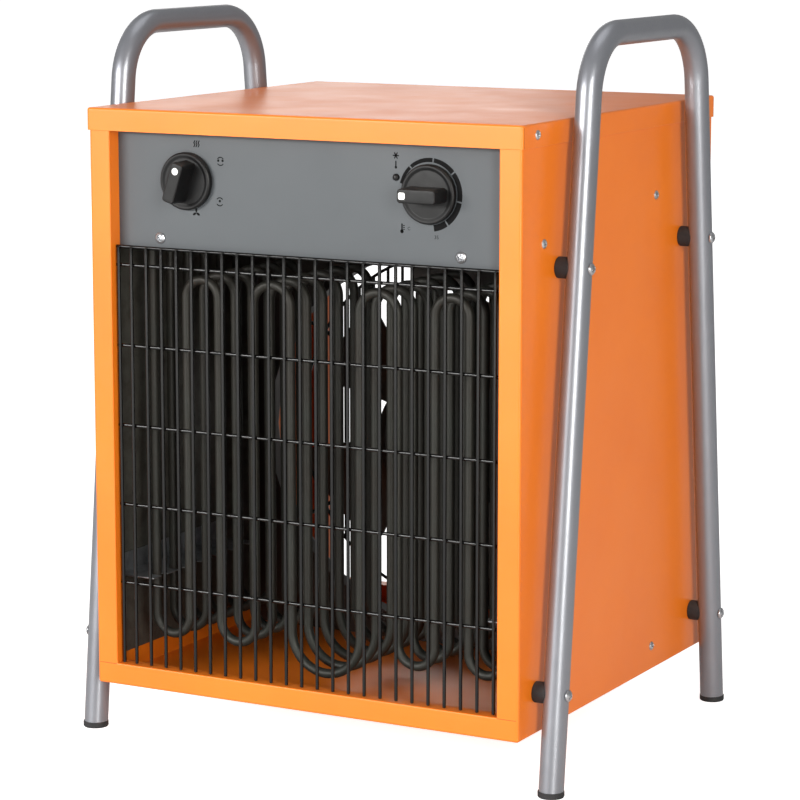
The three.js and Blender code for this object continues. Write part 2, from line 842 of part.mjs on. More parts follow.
// The housing of the limiter, which hangs under the shelf before the duct.
function limiterHousing() {
  const back = wallPlace - ductLength - fit;
  const outline = roundedRectangle(limiterWidth, limiterHeight, limiterCorner);
  return alongY(outline, back - limiterDepth, back, tubeSteps);
}

// A knob as seen from the front, with its pointer up: a chamfered skirt and a raised grip.
function knob() {
  const skirtTop = knobAir + skirtThickness;
  const skirt = revolvedUp([
    [0, knobAir],
    [skirtRadius, knobAir],
    [skirtRadius, skirtTop - skirtChamfer],
    [skirtRadius - skirtChamfer, skirtTop],
    [0, skirtTop],
  ], knobSides);
  const grip = new THREE.ExtrudeGeometry(
    roundedRectangle(gripWidth - 2 * gripEdge, gripLength - 2 * gripEdge, gripCorner - gripEdge),
    {
      depth: skirtThickness / 2 + gripRise - 2 * gripEdge,
      bevelSize: gripEdge,
      bevelThickness: gripEdge,
      bevelSegments: 1,
      curveSegments: 2,
    },
  );
  grip.translate(0, 0, skirtTop - skirtThickness / 2 + gripEdge);
  const boreSection = spindleSection(spindleRadius + fit, spindleFlat + fit);
  const bore = alongZ(boreSection, 0, knobAir + boreDepth, spindleSteps);
  return without(joined(solid(skirt), solid(grip)), bore);
}

// A round section with one flat.
function spindleSection(radius, flat) {
  const edge = Math.acos(flat / radius);
  const outline = new THREE.Shape();
  outline.absarc(0, 0, radius, Math.PI / 2 + edge, 2.5 * Math.PI - edge, false);
  return outline;
}

// The flatted spindle from the socket behind the panel into the knob.
function spindle() {
  const inner = -sheet - spindleSocket;
  return alongZ(spindleSection(spindleRadius, spindleFlat), inner, knobAir + boreDepth - fit, spindleSteps);
}

// A housing behind the panel with a threaded bush through it and a socket for the spindle.
function housing(width, corner, depth) {
  const back = -sheet - fit - depth;
  return without(
    joined(
      alongZ(roundedRectangle(width, width, corner), back, -sheet - fit),
      alongZ(regular(bushRadius, holeSides), -sheet - fit - weldDepth, 0),
    ),
    alongZ(regular(spindleRadius + 2 * fit, holeSides), -sheet - spindleSocket - fit, overrun),
  );
}

// The capillary thermostat: its housing with the round bellows can on the back.
function thermostatBody() {
  const canFront = -sheet - fit - thermostatDepth;
  return joined(
    housing(thermostatWidth, thermostatCorner, thermostatDepth),
    alongZ(regular(bellowsRadius, 2 * holeSides), canFront - bellowsDepth, canFront + weldDepth),
  );
}

// The round reset button, which slides into the cut-out behind the panel.
function resetButton() {
  return alongZ(regular(resetRadius, 2 * holeSides), -resetTail, resetReach);
}

// The thermal cut-out with a blind guide for the button.
function cutoutBody() {
  const front = -sheet - fit;
  return without(
    alongZ(roundedRectangle(cutoutWidth, cutoutWidth, cutoutCorner), front - cutoutDepth, front),
    alongZ(regular(resetRadius + fit, 2 * holeSides), -resetTail - resetTravel - fit, overrun),
  );
}

// The contactor, stepped down at its terminal rows.
function contactor() {
  const low = shelfTop + fit;
  const high = low + contactorHeight;
  const step = high - contactorStep;
  const half = contactorDepth / 2;
  const outline = outlineOf([
    [-half, low],
    [half, low],
    [half, step],
    [half - contactorStep, step],
    [half - contactorStep, high],
    [-half + contactorStep, high],
    [-half + contactorStep, step],
    [-half, step],
  ]);
  return alongX(outline, -contactorWidth / 2, contactorWidth / 2);
}

// The terminal block, grooved between its ways.
function terminalBlock() {
  const low = shelfTop + fit;
  const high = low + blockHeight;
  const half = (blockWays * blockPitch) / 2;
  const points = [[-half, low], [half, low], [half, high]];
  for (let way = blockWays - 1; way > 0; way -= 1) {
    const x = way * blockPitch - half;
    points.push(
      [x + blockGroove / 2, high],
      [x + blockGroove / 2, high - blockGroove],
      [x - blockGroove / 2, high - blockGroove],
      [x - blockGroove / 2, high],
    );
  }
  points.push([-half, high]);
  return alongY(outlineOf(points), -blockDepth / 2, blockDepth / 2);
}

// The sensing bulb behind the fan wall, on the thin tube that comes from the thermostat.
function thermostatSensor() {
  const start = panelBack + fit + thermostatDepth + bellowsDepth + fit;
  const run = wallBack + fit + bulbRadius;
  const capillaryX = knobSpacing / 2 - capillaryOffset;
  const capillaryHeight = knobHeight + capillaryRise;
  const bulbHeight = ductHeight + ductMouth + bulbRise;
  const corners = [
    new THREE.Vector3(knobSpacing / 2, start, knobHeight),
    new THREE.Vector3(knobSpacing / 2, start + 2 * capillaryDrop, knobHeight),
    new THREE.Vector3(capillaryX, start + 4 * capillaryDrop, capillaryHeight),
    new THREE.Vector3(capillaryX, run + capillaryDrop, capillaryHeight),
    new THREE.Vector3(capillaryX, run, bulbHeight),
    new THREE.Vector3(bulbLength / 2 - weldDepth, run, bulbHeight),
  ];
  const radii = corners.slice(2).map(() => capillaryBend);
  const tube = tubeAlong(new BentRoute(corners, radii, 2), regular(capillaryRadius, wireSides));
  const bulb = regular(bulbRadius, holeSides, Math.PI / holeSides, run, bulbHeight);
  return joined(tube, alongX(bulb, -bulbLength / 2, bulbLength / 2));
}

// The gland for the supply cable: thread, hexagon, and a barrel that narrows to the mouth.
function cableGland() {
  const face = wallBack + fit;
  const shoulder = face + glandHexThickness;
  const barrel = [
    [glandBore, wallPlace - glandTail],
    [threadRadius, wallPlace - glandTail],
    [threadRadius, face],
    [glandBarrel, face],
    [glandBarrel, shoulder + glandReach / 2],
    [glandNose, face + glandReach],
    [glandBore, face + glandReach],
    [glandBore, wallPlace - glandTail],
  ];
  const hexagon = regular(glandHex, 6);
  hexagon.holes.push(regular((glandBore + threadRadius) / 2, 2 * holeSides));
  return joined(solid(revolved(barrel, 2 * holeSides)), alongY(hexagon, face, shoulder));
}

// The lock nut on the gland's thread, in front of the wall.
function glandNut() {
  const hexagon = regular(glandHex, 6);
  hexagon.holes.push(regular(threadRadius + fit, 2 * holeSides));
  return alongY(hexagon, wallPlace - fit - lockNutThickness, wallPlace - fit);
}

// The turn from Y to a leg's direction, which is upwards and inwards on the given side.
function legTurn(side) {
  const direction = new THREE.Vector3(0, -side * legSlope, 1).normalize();
  return new THREE.Quaternion().setFromUnitVectors(new THREE.Vector3(0, 1, 0), direction);
}

// One bent tube: two slanting legs and the bar across the top, cut level over the feet.
function sideFrame() {
  const low = footSpread / 2 + plugLength * legSlope;
  const high = topSpread / 2;
  const ends = [[-low, -plugLength], [-high, barHeight], [high, barHeight], [low, -plugLength]];
  const corners = ends.map(([y, z]) => new THREE.Vector3(0, y, z));
  const section = regular(tubeRadius, tubeSides);
  section.holes.push(regular(tubeRadius - tubeWall, boreSides));
  const tube = tubeAlong(new BentRoute(corners, [frameBend, frameBend], tubeSteps), section);
  const reach = footSpread / 2 + 2 * tubeRadius;
  const slab = rectangle(-reach, -2 * plugLength, reach, footThickness + fit);
  const holes = boltPlaces().map(([y, z]) => (
    alongX(regular(boltHole, holeSides, 0, y, z), -tubeRadius - overrun, tubeRadius + overrun)
  ));
  return without(tube, alongX(slab, -2 * tubeRadius, 2 * tubeRadius), ...holes);
}

// A rubber foot: a level pad with a plug that follows the leg into the tube.
function footCap(side) {
  const plugRadius = (tubeRadius - tubeWall) * Math.cos(Math.PI / boreSides) - fit;
  const plug = new THREE.CylinderGeometry(plugRadius, plugRadius, plugLength, boreSides);
  plug.translate(0, plugLength / 2, 0);
  plug.applyQuaternion(legTurn(side));
  const pad = regular(footRadius, tubeSides);
  plug.translate(0, -side * legSlope * (footThickness / 2), footThickness / 2);
  return joined(alongZ(pad, 0, footThickness), solid(plug));
}

// A rubber spacer between the casing's side and the tube, hollowed to the tube's round back.
function spacer(side) {
  const hollow = (tubeRadius + fit) / Math.cos(Math.PI / tubeSides);
  const tube = new THREE.CylinderGeometry(hollow, hollow, 4 * tubeRadius, tubeSides);
  tube.applyQuaternion(legTurn(side));
  const start = fit - tubeOffset - tubeRadius;
  return without(
    alongX(regular(spacerRadius, tubeSides), start, -tubeRadius / 2),
    solid(tube),
    alongX(regular(boltHole, holeSides), start - overrun, overrun),
  );
}

// A bolt from the outside of the tube to the nut inside the casing, with a domed head.
function frameBolt() {
  const seat = tubeRadius + fit;
  const tip = innerHalfWidth - nutThickness - tubeCentre;
  const profile = [
    [0, seat],
    [boltHeadRadius, seat],
    [boltHeadRadius, seat + boltHeadRise / 2],
    [boltCrownRadius, seat + boltHeadRise],
    [0, seat + boltHeadRise],
  ];
  const head = revolved(profile, holeSides).rotateZ(-Math.PI / 2);
  return joined(solid(head), alongX(regular(boltRadius, holeSides), tip, seat + weldDepth));
}

const heater = new THREE.Group();
heater.position.y = frontOverhang / 2;

// Adds one named piece with its own material.
function addPiece(name, body, finish, [x, y, z] = [0, 0, 0], parent = heater) {
  const mesh = new THREE.Mesh(geometryOf(body), new THREE.MeshStandardMaterial(finish));
  mesh.name = name;
  mesh.position.set(x, y, z);
  parent.add(mesh);
  return mesh;
}

// A group on the panel whose own Z points out of it, turned about that axis.
function panelGroup(x, z, turn = 0) {
  const group = new THREE.Group();
  const spin = new THREE.Group();
  group.position.set(x, panelFront, z);
  group.rotation.x = Math.PI / 2;
  spin.rotation.z = turn;
  group.add(spin);
  heater.add(group);
  return spin;
}

addPiece('casing_body', casingBody(), orangePaint);
addPiece('lid', lid(), orangePaint);
addPiece('control_panel', controlPanel(), greyPaint);
addPiece('element_shelf', elementShelf(), zincSteel);
addPiece('front_grille', frontGrille(), blackSteel);
addPiece('fan_wall', fanWall(), blackSteel);

const fanCentre = [0, 0, ductHeight];
addPiece('fan_guard', fanGuard(), blackSteel, fanCentre);
addPiece('fan_motor', fanMotor(), zincSteel, fanCentre);
addPiece('fan_rotor', fanRotor(), blackSteel, fanCentre);
addPiece('fan_impeller', fanImpeller(), blackSteel, fanCentre);

const limiterPlace = [limiterShift, 0, shelfHeight - fit - limiterHeight / 2];
addPiece('limiter_housing', limiterHousing(), blackSteel, limiterPlace);

elementDepths.forEach((y, index) => {
  addPiece(`heating_element_${index + 1}`, heatingElement(y), sheathSteel);
});
for (const [name, side] of [['left', -1], ['right', 1]]) {
  const bar = insulatorBar(side);
  addPiece(`insulator_bar_${name}`, bar.body, ceramic, bar.place);
  const support = elementSupport(side);
  const angle = addPiece(`element_support_${name}`, support.body, zincSteel);
  angle.rotation.z = support.turn;
  angle.position.y = side < 0 ? support.shift : 0;
  addPiece(`heat_shield_${name}`, heatShield(side), blackSteel);
}

const selectorRest = panelGroup(-knobSpacing / 2, knobHeight, selectorRestTurn);
addPiece('selector_knob', knob(), blackPlastic, [0, 0, 0], selectorRest);
addPiece('selector_spindle', spindle(), zincSteel, [0, 0, 0], selectorRest);
const selectorPlace = panelGroup(-knobSpacing / 2, knobHeight);
const selectorSwitch = housing(switchWidth, switchCorner, switchDepth);
addPiece('selector_switch', selectorSwitch, palePlastic, [0, 0, 0], selectorPlace);

const thermostatRest = panelGroup(knobSpacing / 2, knobHeight, thermostatRestTurn);
addPiece('thermostat_knob', knob(), blackPlastic, [0, 0, 0], thermostatRest);
addPiece('thermostat_spindle', spindle(), zincSteel, [0, 0, 0], thermostatRest);
const thermostatPlace = panelGroup(knobSpacing / 2, knobHeight);
addPiece('thermostat_body', thermostatBody(), zincSteel, [0, 0, 0], thermostatPlace);
addPiece('thermostat_sensor', thermostatSensor(), copper);

const resetPlace = panelGroup(resetX, resetHeight);
addPiece('reset_button', resetButton(), blackPlastic, [0, 0, 0], resetPlace);
addPiece('cutout_body', cutoutBody(), palePlastic, [0, 0, 0], resetPlace);

addPiece('contactor', contactor(), palePlastic, [0, wallPlace - contactorSetback, 0]);
const blockPlace = [halfWidth - blockInset, wallPlace - blockSetback, 0];
addPiece('terminal_block', terminalBlock(), palePlastic, blockPlace);
addPiece('cable_gland', cableGland(), blackPlastic, [glandX, 0, glandHeight]);
addPiece('gland_nut', glandNut(), blackPlastic, [glandX, 0, glandHeight]);

// Each frame group has its X pointing away from the casing.
for (const [name, turn] of [['left', Math.PI], ['right', 0]]) {
  const frame = new THREE.Group();
  frame.rotation.z = turn;
  frame.position.x = turn === 0 ? tubeCentre : -tubeCentre;
  heater.add(frame);
  addPiece(`side_frame_${name}`, sideFrame(), framePaint, [0, 0, 0], frame);
  for (const side of [-1, 1]) {
    const end = side * Math.cos(turn) < 0 ? 'front' : 'rear';
    addPiece(`foot_${name}_${end}`, footCap(side), rubber, [0, (side * footSpread) / 2, 0], frame);
  }
  for (const [y, z] of boltPlaces()) {
    const end = y * Math.cos(turn) < 0 ? 'front' : 'rear';
    const level = z === boltHeights[0] ? 'lower' : 'upper';
    addPiece(`spacer_${name}_${end}_${level}`, spacer(Math.sign(y)), rubber, [0, y, z], frame);
    addPiece(`bolt_${name}_${end}_${level}`, frameBolt(), zincSteel, [0, y, z], frame);
  }
}

export default heater;
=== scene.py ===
"""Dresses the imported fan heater: sheet metal, tube frames, grille, elements, fan, controls and studio."""

import json
import logging
import math
from dataclasses import dataclass, field
from enum import Enum

import bmesh
import bpy
import numpy as np
from mathutils import Matrix, Vector


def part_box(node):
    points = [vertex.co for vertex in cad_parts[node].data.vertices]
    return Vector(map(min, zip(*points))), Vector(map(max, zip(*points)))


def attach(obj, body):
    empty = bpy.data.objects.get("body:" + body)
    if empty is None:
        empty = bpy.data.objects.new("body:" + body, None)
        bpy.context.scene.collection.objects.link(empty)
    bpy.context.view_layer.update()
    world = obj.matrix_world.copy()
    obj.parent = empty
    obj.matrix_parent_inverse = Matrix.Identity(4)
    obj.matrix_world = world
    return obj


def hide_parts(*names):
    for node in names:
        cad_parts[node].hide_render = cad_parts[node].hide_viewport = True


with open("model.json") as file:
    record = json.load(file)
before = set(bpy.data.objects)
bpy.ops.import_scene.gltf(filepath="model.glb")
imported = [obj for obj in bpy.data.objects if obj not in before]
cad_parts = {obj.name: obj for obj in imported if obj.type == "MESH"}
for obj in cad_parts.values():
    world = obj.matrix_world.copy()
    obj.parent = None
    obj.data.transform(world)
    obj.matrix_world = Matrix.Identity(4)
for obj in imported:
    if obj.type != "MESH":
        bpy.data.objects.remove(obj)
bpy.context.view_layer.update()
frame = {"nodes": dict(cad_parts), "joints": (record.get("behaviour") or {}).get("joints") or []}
LOG = logging.getLogger("heater")
Array = np.ndarray
Material = bpy.types.Material
Object = bpy.types.Object
Socket = bpy.types.NodeSocket
Tree = bpy.types.NodeTree
TAU = 2 * math.pi
MM = 0.001
FIT = 0.3 * MM
WELD = 0.4 * MM
HAIR = 0.1 * MM
ROUND = 96
X, Y, Z = np.eye(3)


class Body(Enum):
    """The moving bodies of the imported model."""

    CHASSIS = "chassis"
    SELECTOR = "selector"
    THERMOSTAT = "thermostat"
    RESET = "reset"
    FAN = "fan"


class Side(Enum):
    """The two sides of the heater, by the sign of X."""

    LEFT = -1
    RIGHT = 1


def linear(screen: tuple) -> tuple:
    """Turns a screen colour of 0 to 255 into scene-linear values with an alpha of one.

    Args:
        screen: Red, green and blue.

    Returns:
        Red, green, blue and alpha.
    """
    share = np.array(screen) / 255
    light = np.where(share <= 0.04045, share / 12.92, ((share + 0.055) / 1.055) ** 2.4)
    return (*light.tolist(), 1.0)


def corners(node: str) -> tuple[Array, Array]:
    """The low and the high corner of a CAD node's box."""
    low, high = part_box(node)
    return np.array(low), np.array(high)


# Outlines, paths and grids


def joined(*parts: object) -> Array:
    """Coordinates of any matching shapes, joined into points."""
    return np.stack(np.broadcast_arrays(*parts), axis=-1)


def circle(count: int) -> Array:
    """Equal steps once round, in radians."""
    return TAU * np.arange(count) / count


def ring(radius: float, count: int) -> Array:
    """Points on a circle: radius times cosine and sine of equal steps."""
    return radius * joined(np.cos(circle(count)), np.sin(circle(count)))


def rounded(width: float, height: float, radius: float) -> Array:
    """A centred rectangle with round corners, anticlockwise from the right-hand lower corner.

    Each corner is a quarter circle of six segments about a centre that lies radius inside both edges.

    Args:
        width: Size along the first axis.
        height: Size along the second axis.
        radius: Corner radius.

    Returns:
        An array of 28 by 2.
    """
    angle = (np.arange(4)[:, None] - 1 + np.arange(7) / 6) * math.pi / 2
    across = np.array([[1], [1], [-1], [-1]]) * (width / 2 - radius)
    along = np.array([[-1], [1], [1], [-1]]) * (height / 2 - radius)
    return joined(across + radius * np.cos(angle), along + radius * np.sin(angle)).reshape(-1, 2)


def tapered(width: float, height: float, corner: float, least: float, rows: list) -> Array:
    """Rounded rectangles one over another, each smaller by its own inset on every side.

    Args:
        width: Full size along the first axis.
        height: Full size along the second axis.
        corner: Corner radius of the full size, which shrinks with the inset.
        least: The smallest corner radius.
        rows: Inset and level of each rectangle.

    Returns:
        A grid of rows by 28 by 3.
    """
    return np.array([
        np.insert(
            rounded(width - 2 * inset, height - 2 * inset, max(corner - inset, least)), 2, level, axis=1
        ) for inset, level in rows
    ])


def bent(points: Array, radii: list[float], steps: int) -> Array:
    """Straight runs with a round bend at each inner corner.

    A bend starts radius * tan(turn / 2) before its corner and runs round a centre on its inner side.

    Args:
        points: Corner points, n by 2.
        radii: One bend radius for each inner corner.
        steps: Segments to each bend.

    Returns:
        The points of the path, as an array by 2.
    """
    points = np.array(points, float)
    runs = np.diff(points, axis=0)
    runs = runs / np.linalg.norm(runs, axis=1, keepdims=True)
    before, after = runs[:-1], runs[1:]
    turn = np.arctan2(before[:, 0] * after[:, 1] - before[:, 1] * after[:, 0], np.sum(before * after, axis=1))
    radius = np.array(radii)[:, None]
    normal = joined(-before[:, 1], before[:, 0]) * np.sign(turn)[:, None]
    start = points[1:-1] - before * radius * np.tan(np.abs(turn) / 2)[:, None]
    arm = (-normal * radius)[:, None, :]
    angle = turn[:, None] * np.linspace(0, 1, steps + 1)
    cosine, sine = np.cos(angle), np.sin(angle)
    arcs = joined(arm[..., 0] * cosine - arm[..., 1] * sine, arm[..., 0] * sine + arm[..., 1] * cosine)
    arcs += (start + normal * radius)[:, None, :]
    path = np.concatenate([points[:1], arcs.reshape(-1, 2), points[-1:]])
    return path[np.append(True, np.linalg.norm(np.diff(path, axis=0), axis=1) > 1e-6)]


def eased(points: list, radius: float) -> Array:
    """A profile whose inner corners are all rounded by one radius."""
    return bent(points, [radius] * (len(points) - 2), 4)


def swept(path: Array, across: Array, section: Array) -> Array:
    """A section carried along a path that lies in one plane.

    A section point (a, b) goes to path + a * across + b * (tangent x across), where the tangent is the
    mean direction of the two runs that meet at a station.

    Args:
        path: Stations, n by 3.
        across: Unit normal of the path's plane.
        section: Section points, m by 2.

    Returns:
        A grid of n by m by 3.
    """
    run = np.diff(path, axis=0)
    run = run / np.linalg.norm(run, axis=1, keepdims=True)
    tangent = np.concatenate([run[:1], run[:-1] + run[1:], run[-1:]])
    tangent = tangent / np.linalg.norm(tangent, axis=1, keepdims=True)
    upright = np.cross(tangent, across)[:, None, :]
    return path[:, None, :] + section[:, :1] * across + section[:, 1:] * upright


def revolved(profile: Array, count: int, centre: Array, axis: Array, start: Array) -> Array:
    """A profile of (radius, height) turned about an axis.

    A point goes to centre + height * axis + radius * (cos * start + sin * (axis x start)).

    Args:
        profile: Radius and height, n by 2.
        count: Points round the axis.
        centre: A point on the axis.
        axis: Unit direction of the axis.
        start: Unit direction of the first column, square to the axis.

    Returns:
        A grid of n by count by 3.
    """
    profile, angle = np.array(profile), circle(count)[:, None]
    spoke = np.cos(angle) * start + np.sin(angle) * np.cross(axis, start)
    return centre + profile[:, None, 1:] * axis + profile[:, None, :1] * spoke


def smooth(low: float, high: float, value: Array) -> Array:
    """The smooth step 3t^2 - 2t^3 of a value between two bounds."""
    share = np.clip((value - low) / (high - low), 0, 1)
    return share * share * (3 - 2 * share)


def screw(place: Array, outward: Array, turn: float, radius: float, rise: float) -> Array:
    """A domed screw head with a cross recess.

    The dome is rise * (1 - (r / radius)^2.6) over a short rim, less a cross of two bars with soft walls.

    Args:
        place: Centre of the head's seat.
        outward: Unit direction that the head looks in, level.
        turn: Turn of the recess.
        radius: The head's radius.
        rise: The head's height.

    Returns:
        A grid of rings by spokes by 3 that starts under the rim and ends near the middle.
    """
    share = np.append([1.0, 1.0], np.linspace(1.0, 0.02, 20))[:, None]
    across, along = np.abs(share * np.cos(circle(48))), np.abs(share * np.sin(circle(48)))
    bars = np.maximum(
        smooth(0.17, 0.1, across) * smooth(0.66, 0.5, along),
        smooth(0.17, 0.1, along) * smooth(0.66, 0.5, across),
    )
    height = rise * (0.28 + 0.72 * (1 - share**2.6)) - 0.75 * rise * bars
    height[0] = 0.0
    angle = (turn + circle(48))[:, None]
    spoke = np.cos(angle) * Z + np.sin(angle) * np.cross(outward, Z)
    return place + height[..., None] * outward + (radius * share)[..., None] * spoke


# Meshes and pieces


def link(name: str, data: object) -> Object:
    """Makes an object of some data and links it to the scene.

    Args:
        name: The object's name.
        data: Its mesh, curve, camera or light.

    Returns:
        The object.
    """
    made = bpy.data.objects.new(name, data)
    bpy.context.scene.collection.objects.link(made)
    return made


def tidy_mesh(mesh: bpy.types.Mesh) -> None:
    """Merges doubles, drops empty faces and turns faces outwards.

    Args:
        mesh: The mesh.
    """
    work = bmesh.new()
    work.from_mesh(mesh)
    bmesh.ops.remove_doubles(work, verts=work.verts, dist=1e-7)
    bmesh.ops.dissolve_degenerate(work, edges=work.edges, dist=1e-7)
    bmesh.ops.recalc_face_normals(work, faces=work.faces)
    work.to_mesh(mesh)
    work.free()


def shade(mesh: bpy.types.Mesh, sharp: float) -> None:
    """Shades a mesh smooth except over edges that turn by more than some degrees.

    Args:
        mesh: The mesh.
        sharp: The angle in degrees.
    """
    mesh.polygons.foreach_set("use_smooth", np.ones(len(mesh.polygons), bool))
    mesh.set_sharp_from_angle(angle=math.radians(sharp))
    mesh.update()


def settle(piece: Object, material: Material, slot: str, *nodes: str, body: Body = Body.CHASSIS) -> None:
    """Gives a finished piece its material, its body and the nodes that it stands for.

    Its shading follows the larger of the faces that meet at an edge, so that flats stay flat.

    Args:
        piece: The piece.
        material: Its material.
        slot: The record's material slot; not used.
        nodes: CAD nodes that it replaces.
        body: The body that it rides on.
    """
    piece.data.materials.clear()
    piece.data.materials.append(material)
    faces = piece.modifiers.new("faces", "WEIGHTED_NORMAL")
    faces.mode = "FACE_AREA"
    faces.keep_sharp = True
    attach(piece, body.value)
    if nodes:
        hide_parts(*nodes)
    LOG.info("piece %s on %s", piece.name, body.value)


def dress(node: str, material: Material) -> None:
    """Gives a CAD node a material in place of its plain one.

    Args:
        node: The CAD node.
        material: Its material.
    """
    target = frame["nodes"][node]
    target.data.materials.clear()
    target.data.materials.append(material)
    LOG.info("node %s dressed in %s", node, material.name)


def soften(node: str, name: str, width: float, material: Material, slot: str) -> None:
    """Builds a merged copy of a CAD node whose edges are rounded, as folded or moulded edges are.

    Args:
        node: The CAD node.
        name: The new piece's name.
        width: Width of the rounding.
        material: The new piece's material.
        slot: Its material slot.
    """
    mesh = frame["nodes"][node].data.copy()
    mesh.name = name
    work = bmesh.new()
    work.from_mesh(mesh)
    bmesh.ops.remove_doubles(work, verts=work.verts, dist=2e-6)
    bmesh.ops.dissolve_limit(work, angle_limit=math.radians(0.5), verts=work.verts, edges=work.edges)
    work.to_mesh(mesh)
    work.free()
    mesh.materials.clear()
    shade(mesh, 30.0)
    made = link(name, mesh)
    bevel = made.modifiers.new("edges", "BEVEL")
    bevel.width, bevel.segments = width, 2
    bevel.limit_method, bevel.angle_limit = "ANGLE", math.radians(32)
    bevel.use_clamp_overlap = True
    settle(made, material, slot, node)


@dataclass
class Surface:
    """Grids of points gathered into one mesh."""

    name: str
    points: list[Array] = field(default_factory=list)
    faces: list[list[int]] = field(default_factory=list)
    total: int = 0

    def add(self, *grids: Array, loop: bool = False) -> "Surface":
        """Adds grids whose columns close into rings. Quads join each point with its neighbours.

        Args:
            grids: Each rows by columns by 3.
            loop: Whether the last row joins the first. If not, both are closed by a flat face.

        Returns:
            This surface.
        """
        for grid in grids:
            rows, columns = grid.shape[:2]
            down, along = np.arange(rows if loop else rows - 1)[:, None], np.arange(columns)
            below, beside = (down + 1) % rows * columns, (along + 1) % columns
            here = down * columns
            quads = joined(here + along, below + along, below + beside, here + beside)
            self.faces += (quads.reshape(-1, 4) + self.total).tolist()
            if not loop:
                first = along + self.total
                self.faces += [first.tolist(), (first[::-1] + (rows - 1) * columns).tolist()]
            self.points.append(grid.reshape(-1, 3))
            self.total += rows * columns
        return self

    def settle(
        self, material: Material, slot: str, *nodes: str, body: Body = Body.CHASSIS, sharp: float = 38.0
    ) -> None:
        """Makes the mesh, merges doubles, turns the faces outwards, shades it smooth and settles it.

        Args:
            material: Its material.
            slot: The record's material slot.
            nodes: CAD nodes that it replaces.
            body: The body that it rides on.
            sharp: Edges that turn by more degrees than this stay sharp.
        """
        mesh = bpy.data.meshes.new(self.name)
        mesh.from_pydata(np.concatenate(self.points).tolist(), [], self.faces)
        tidy_mesh(mesh)
        shade(mesh, sharp)
        settle(link(self.name, mesh), material, slot, *nodes, body=body)


# Shader building


@dataclass
class Graph:
    """A node tree with short ways to add and join its nodes."""

    tree: Tree

    def join(self, value: object, socket: Socket) -> None:
        """Links a socket to another, or gives it a value.

        Args:
            value: A socket or a value.
            socket: The socket that takes it.
        """
        if isinstance(value, Socket):
            self.tree.links.new(value, socket)
        else:
            socket.default_value = value

    def add(self, kind: str, inputs: dict | None = None, **settings: object) -> bpy.types.Node:
        """Adds a node.

        Args:
            kind: The node's type name.
            inputs: Values or sockets for its inputs, by name or number.
            settings: Its properties.

        Returns:
            The node.
        """
        node = self.tree.nodes.new(kind)
        for name, value in settings.items():
            setattr(node, name, value)
        for name, value in (inputs or {}).items():
            self.join(value, node.inputs[name])
        return node

    def plus(self, first: object, second: object) -> Socket:
        """The sum of two values."""
        return self.add("ShaderNodeMath", {0: first, 1: second}, operation="ADD").outputs[0]

    def times(self, first: object, second: object) -> Socket:
        """The product of two values."""
        return self.add("ShaderNodeMath", {0: first, 1: second}, operation="MULTIPLY").outputs[0]

    def place(self) -> Socket:
        """Object coordinates."""
        return self.add("ShaderNodeTexCoord").outputs["Object"]

    def stretched(self, scale: tuple) -> Socket:
        """Object coordinates scaled by their own factor along each axis."""
        return self.add("ShaderNodeMapping", {"Vector": self.place(), "Scale": scale}).outputs[0]

    def noise(self, scale: object, detail: float, rough: float, place: Socket | None = None) -> Socket:
        """A Noise texture's value, over the object or at a place."""
        inputs = {"Vector": place or self.place(), "Scale": scale, "Detail": detail, "Roughness": rough}
        return self.add("ShaderNodeTexNoise", inputs).outputs[0]

    def spread(self, value: object, low: object, high: object, to: tuple = (0.0, 1.0)) -> Socket:
        """Maps a value from low and high to a new range, held inside it."""
        inputs = {"Value": value, "From Min": low, "From Max": high, "To Min": to[0], "To Max": to[1]}
        return self.add("ShaderNodeMapRange", inputs, clamp=True).outputs[0]

    def cloud(self, noise: tuple, low: float, high: float, to: tuple = (0.0, 1.0)) -> Socket:
        """Noise of a scale, detail and roughness, spread from low and high to a new range."""
        return self.spread(self.noise(*noise), low, high, to)

    def mix(self, share: object, first: object, second: object) -> Socket:
        """A mix of two colours, where three numbers are a screen colour.

        Args:
            share: Share of the second colour.
            first: First colour.
            second: Second colour.

        Returns:
            The mixed colour.
        """
        node = self.add("ShaderNodeMix", {0: share}, data_type="RGBA")
        for number, value in ((6, first), (7, second)):
            colour = isinstance(value, tuple) and len(value) == 3
            self.join(linear(value) if colour else value, node.inputs[number])
        return node.outputs[2]


class Group(Graph):
    """A shader node group with named number inputs and one number output."""

    def __init__(self, name: str, output: str, **inputs: float) -> None:
        """Starts the group.

        Args:
            name: The group's name.
            output: The name of what it puts out.
            inputs: Input names and their usual values.
        """
        super().__init__(bpy.data.node_groups.new(name, "ShaderNodeTree"))
        sockets = self.tree.interface
        for socket, value in inputs.items():
            made = sockets.new_socket(name=socket, in_out="INPUT", socket_type="NodeSocketFloat")
            made.default_value = value
        sockets.new_socket(name=output, in_out="OUTPUT", socket_type="NodeSocketFloat")
        self.given = self.add("NodeGroupInput").outputs
        self.end = self.add("NodeGroupOutput").inputs[0]

    def closed(self, result: Socket) -> Tree:
        """Joins the result to the output."""
        self.join(result, self.end)
        return self.tree


